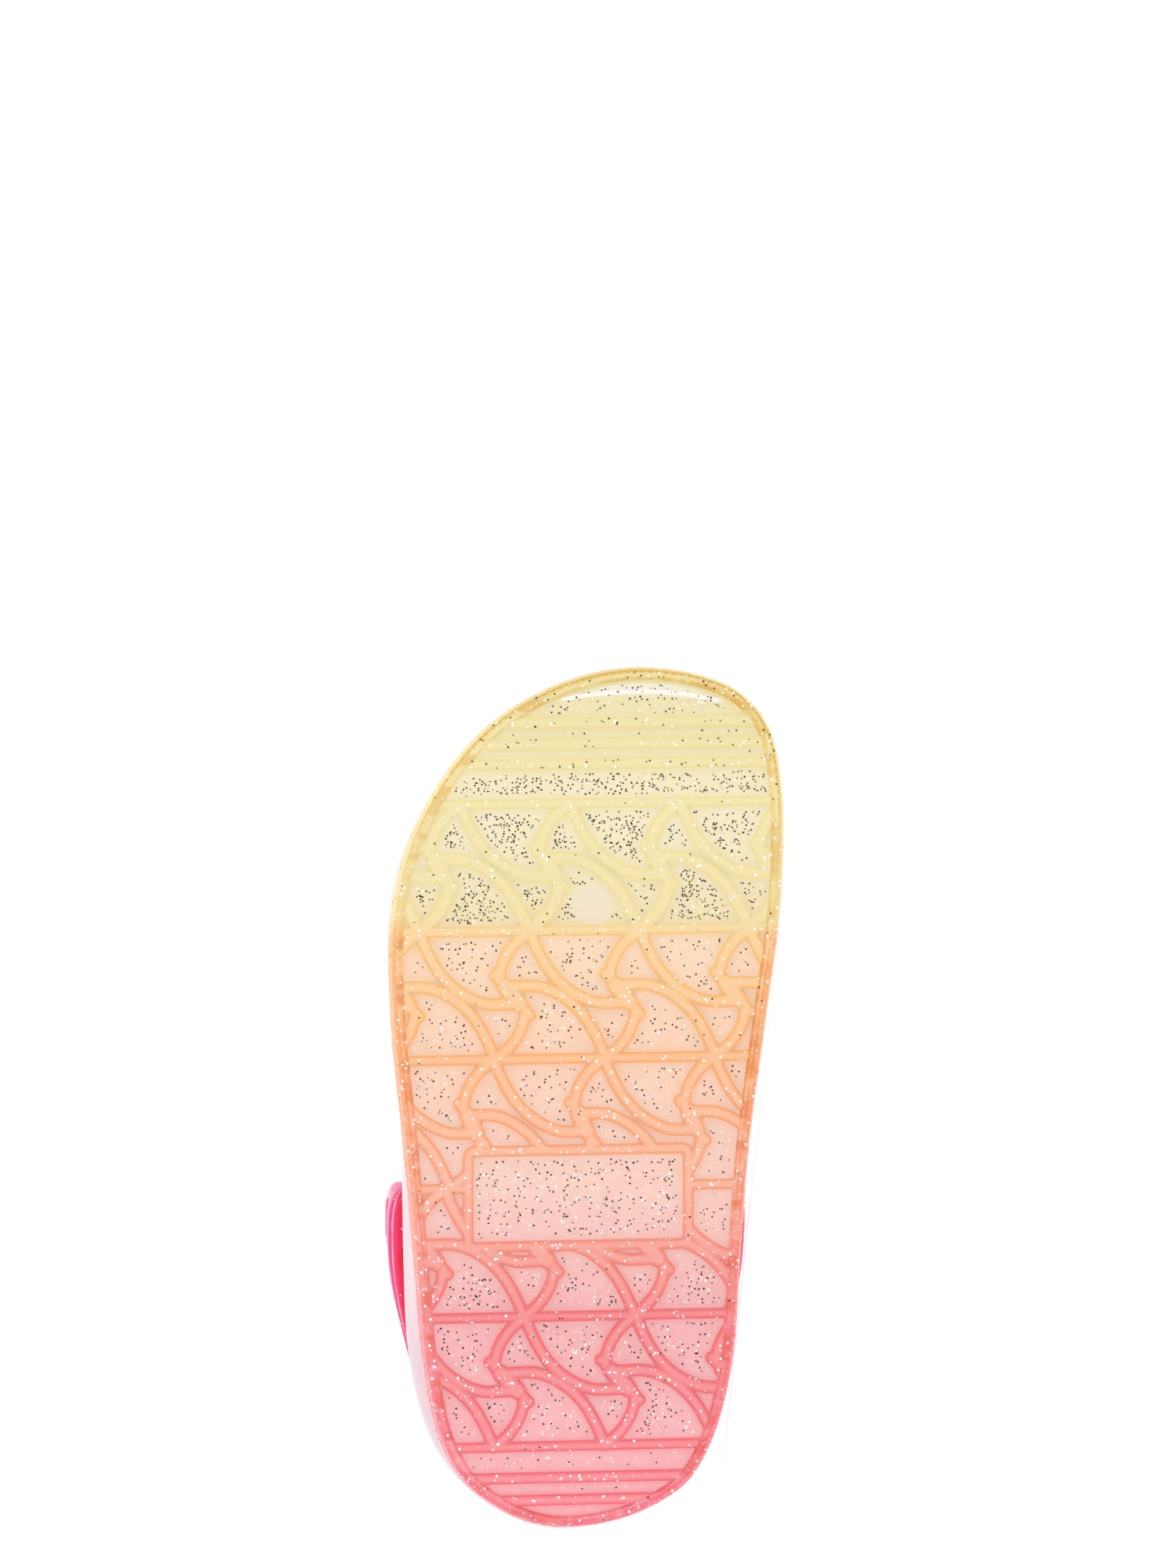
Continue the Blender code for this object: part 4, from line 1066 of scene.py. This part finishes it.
def strap_ring(spot, out, width, thickness):
    """One section of the strap, a band with rounded edges."""
    up = signed_power(np.sin(STRAP_TURNS), STRAP_EDGE_POWER) * width / 2
    away = STRAP_OUTSIDE * thickness
    forward, across = spot[0] + out[0] * away, spot[1] + out[1] * away
    x = PIVOT_ALONG + forward * math.cos(STRAP_TILT) + up * math.sin(STRAP_TILT)
    z = PIVOT_HEIGHT - forward * math.sin(STRAP_TILT) + up * math.cos(STRAP_TILT)
    return np.column_stack([x, across, z])


def make_strap():
    rings = [strap_ring(*row) for row in strap_sections()]
    points = np.vstack(rings)
    faces = capped_faces(len(rings), STRAP_PROFILE)
    outside = np.tile(STRAP_OUTSIDE, len(rings))
    piece = mesh_object("strap_band", points, faces, strap_material(), outside=outside)
    own(piece, "heel_strap", "heel_strap")
    band = np.stack(rings)
    out = np.cross(np.gradient(band, axis=0), np.roll(band, -1, axis=1) - np.roll(band, 1, axis=1))
    out /= np.linalg.norm(out, axis=2, keepdims=True) + 1e-12
    centre = band.mean(axis=1, keepdims=True)
    out = np.where(np.sum(out * (band - centre), axis=2, keepdims=True) < 0, -out, out)
    area = np.linalg.norm(np.roll(band, -1, axis=1) - band, axis=2)
    area *= np.linalg.norm(np.gradient(band, axis=0), axis=2)
    corner = RANDOM.choice(area.size, STRAP_FLAKES.count, p=(area / area.sum()).ravel())
    row, step = np.unravel_index(corner, area.shape)
    share = RANDOM.uniform(0, 1, (STRAP_FLAKES.count, 1))
    ahead = (step + 1) % STRAP_PROFILE
    spots = band[row, step] * (1 - share) + band[row, ahead] * share
    out = out[row, step] * (1 - share) + out[row, ahead] * share
    flakes("strap_glitter", spots + out * FLAKE_LIFT, out, STRAP_FLAKES, "heel_strap")


def make_rivet(side, name, node, surface):
    """A rivet through strap and upper: flange, shank, and a head sunk in the strap."""
    face = strap_seat(side) + STRAP_END_THICKNESS[side]
    inner = side_reach(side, FLANGE_RADIUS + GAP, np.min, UPPER_WALL) - GAP - FACET_SLACK
    profile = rounded([
        (AXIS_RADIUS, inner - FLANGE_THICKNESS),
        (FLANGE_RADIUS - FLANGE_EDGE, inner - FLANGE_THICKNESS),
        (FLANGE_RADIUS, inner - FLANGE_THICKNESS + FLANGE_EDGE),
        (FLANGE_RADIUS, inner),
        (SHANK_RADIUS, inner),
        (SHANK_RADIUS, face - HEAD_SEAT + GAP),
        (HEAD_RADIUS, face - HEAD_SEAT + GAP),
        (HEAD_RADIUS, face - GAP),
        *[(HEAD_RADIUS * wide, face + HEAD_DOME * high) for wide, high in HEAD_SHAPE],
        (AXIS_RADIUS, face + HEAD_DOME * HEAD_DISH),
    ], RIVET_ROUNDING)
    points = []
    for radius, reach in profile:
        for turn in np.arange(TURN_SIDES) * 2 * math.pi / TURN_SIDES:
            x, z = PIVOT_ALONG + radius * math.cos(turn), PIVOT_HEIGHT + radius * math.sin(turn)
            points.append((x, side * reach, z))
    piece = mesh_object(name, points, capped_faces(len(profile), TURN_SIDES), surface)
    own(piece, "rivet", node)


def make_insole():
    """The footbed, with low round nubs under the foot and a plain border."""
    angles = even_angles(INSOLE_ROWS)
    inset = FLOOR_INSET + GAP

    def top(along):
        return floor_top(along) + GAP + INSOLE_THICKNESS

    rim = ring_at(angles, inset + INSOLE_EDGE, top)
    plan = plan_grid(rim, INSOLE_COLUMNS)
    border = distance_to(plan, edge_segments(rim[:, :2]))
    line = np.round(plan[:, 1] / NUB_LINE)
    shift = NUB_PITCH / 2 * np.mod(line, 2)
    spot = np.round((plan[:, 0] - shift) / NUB_PITCH) * NUB_PITCH + shift
    away = np.hypot(plan[:, 0] - spot, plan[:, 1] - line * NUB_LINE)
    dome = np.sqrt(np.clip(1 - (away / NUB_RADIUS) ** 2, 0, 1))
    nub = NUB_HEIGHT * dome * eased(*NUB_BORDER, border)
    bed = np.column_stack([plan, top(plan[:, 0]) + nub])
    rings = [rim]
    for further, drop in (
        (INSOLE_EDGE * EDGE_ROUND_IN, INSOLE_EDGE * EDGE_ROUND_DOWN),
        (0.0, INSOLE_EDGE),
        (0.0, INSOLE_THICKNESS),
    ):
        rings.append(ring_at(angles, inset + further, top) - (0, 0, drop))
    points = np.vstack([bed, *rings])
    faces = bed_faces(INSOLE_ROWS, INSOLE_COLUMNS, len(rings))
    surface = two_tone(
        "insole_soft", *INSOLE_TONES, 300.0, 0.0, jelly_values(0.45, 0.2, 2.0, 0.0, 0.0), (0.4, 0.6),
    )
    piece = mesh_object("insole_bed", points, faces, surface)
    own(piece, "insole", "insole")


# Stage, light and camera

CAMERA_DISTANCE = 0.8
CAMERA_HEIGHT = 0.008  # just off the floor, the lowest that it may go
CAMERA_LENS = 94.65
CAMERA_ROLL = math.radians(-0.2)
SOLE_CENTRE = (84.0, -1.0, 0.0)
AIM_AHEAD, AIM_INWARD = 60.0, 0.4  # the photo's centre, from the sole's, to toe and inner side
FLOOR_HALF, FLOOR_DROP = 6.0, 0.0002
LIGHTS = table("name place size power", [
    ("key", (-0.35, -0.9, 0.75), 0.5, 0.8),
    ("fill", (0.7, -0.7, 0.4), 0.5, 0.3),
    ("top", (0.1, 0.3, 1.4), 1.2, 3.0),
])
LIGHT_AIM = (0, 0, 0.03)


def make_camera():
    """The photo's view of the sole, as nearly as a camera above the floor can have it."""
    axes = LYING.to_3x3().normalized()
    forward, inward, up = (axes.col[i] for i in range(3))
    centre = LYING @ Vector(SOLE_CENTRE)
    aim = centre + (forward * AIM_AHEAD + inward * AIM_INWARD) * MM
    rise = (CAMERA_HEIGHT - centre.z) / CAMERA_DISTANCE
    level = Vector((-up.x, -up.y, 0)).normalized() * math.sqrt(1 - rise * rise)
    place = centre + (level + Vector((0, 0, rise))) * CAMERA_DISTANCE
    look = (aim - place).normalized()
    right = look.cross(forward + inward * CAMERA_ROLL).normalized()
    data = bpy.data.cameras.new("camera")
    data.lens = CAMERA_LENS
    data.clip_start = 0.01
    made = linked("camera", data)
    turned = Matrix((right, right.cross(look), -look)).transposed()
    made.matrix_world = Matrix.Translation(place) @ turned.to_4x4()
    bpy.context.scene.camera = made


def make_floor():
    half = FLOOR_HALF
    corners = [(-half, -half, 0), (half, -half, 0), (half, half, 0), (-half, half, 0)]
    data = bpy.data.meshes.new("floor")
    data.from_pydata(corners, [], [(0, 1, 2, 3)])
    surface = Shading(
        "floor_white", Base_Color=(0.3, 0.3, 0.3, 1.0), Roughness=0.9,
        Emission_Color=(1.0, 1.0, 1.0, 1.0), Emission_Strength=0.74,
    )
    data.materials.append(surface.material)
    made = linked("floor", data)
    made.location.z = -FLOOR_DROP


def make_light():
    scene = bpy.context.scene
    scene.view_settings.view_transform = "Standard"
    world = bpy.data.worlds.new("white_room")
    world.use_nodes = True
    back = world.node_tree.nodes["Background"]
    back.inputs["Color"].default_value = (1.0, 1.0, 1.0, 1.0)
    back.inputs["Strength"].default_value = 1.0
    scene.world = world
    for light in LIGHTS:
        data = bpy.data.lights.new(light.name, "AREA")
        data.size, data.energy = light.size, light.power
        made = linked(light.name, data)
        made.location = light.place
        made.rotation_mode = "QUATERNION"
        towards = Vector(LIGHT_AIM) - Vector(light.place)
        made.rotation_quaternion = towards.to_track_quat("-Z", "Y")


make_camera()
make_light()
make_floor()
make_sole_glitter(*make_sole())
make_upper()
make_strap()
RIVET_PINK = two_tone(
    "rivet_pink", *RIVET_TONES, 240.0, 0.2, jelly_values(0.16, 0.2, 2.0, 0.0, 0.5), (0.12, 0.24),
)
make_rivet(-1, "rivet_outer", "rivet_outer_side", RIVET_PINK)
make_rivet(1, "rivet_inner", "rivet_inner_side", RIVET_PINK)
make_insole()
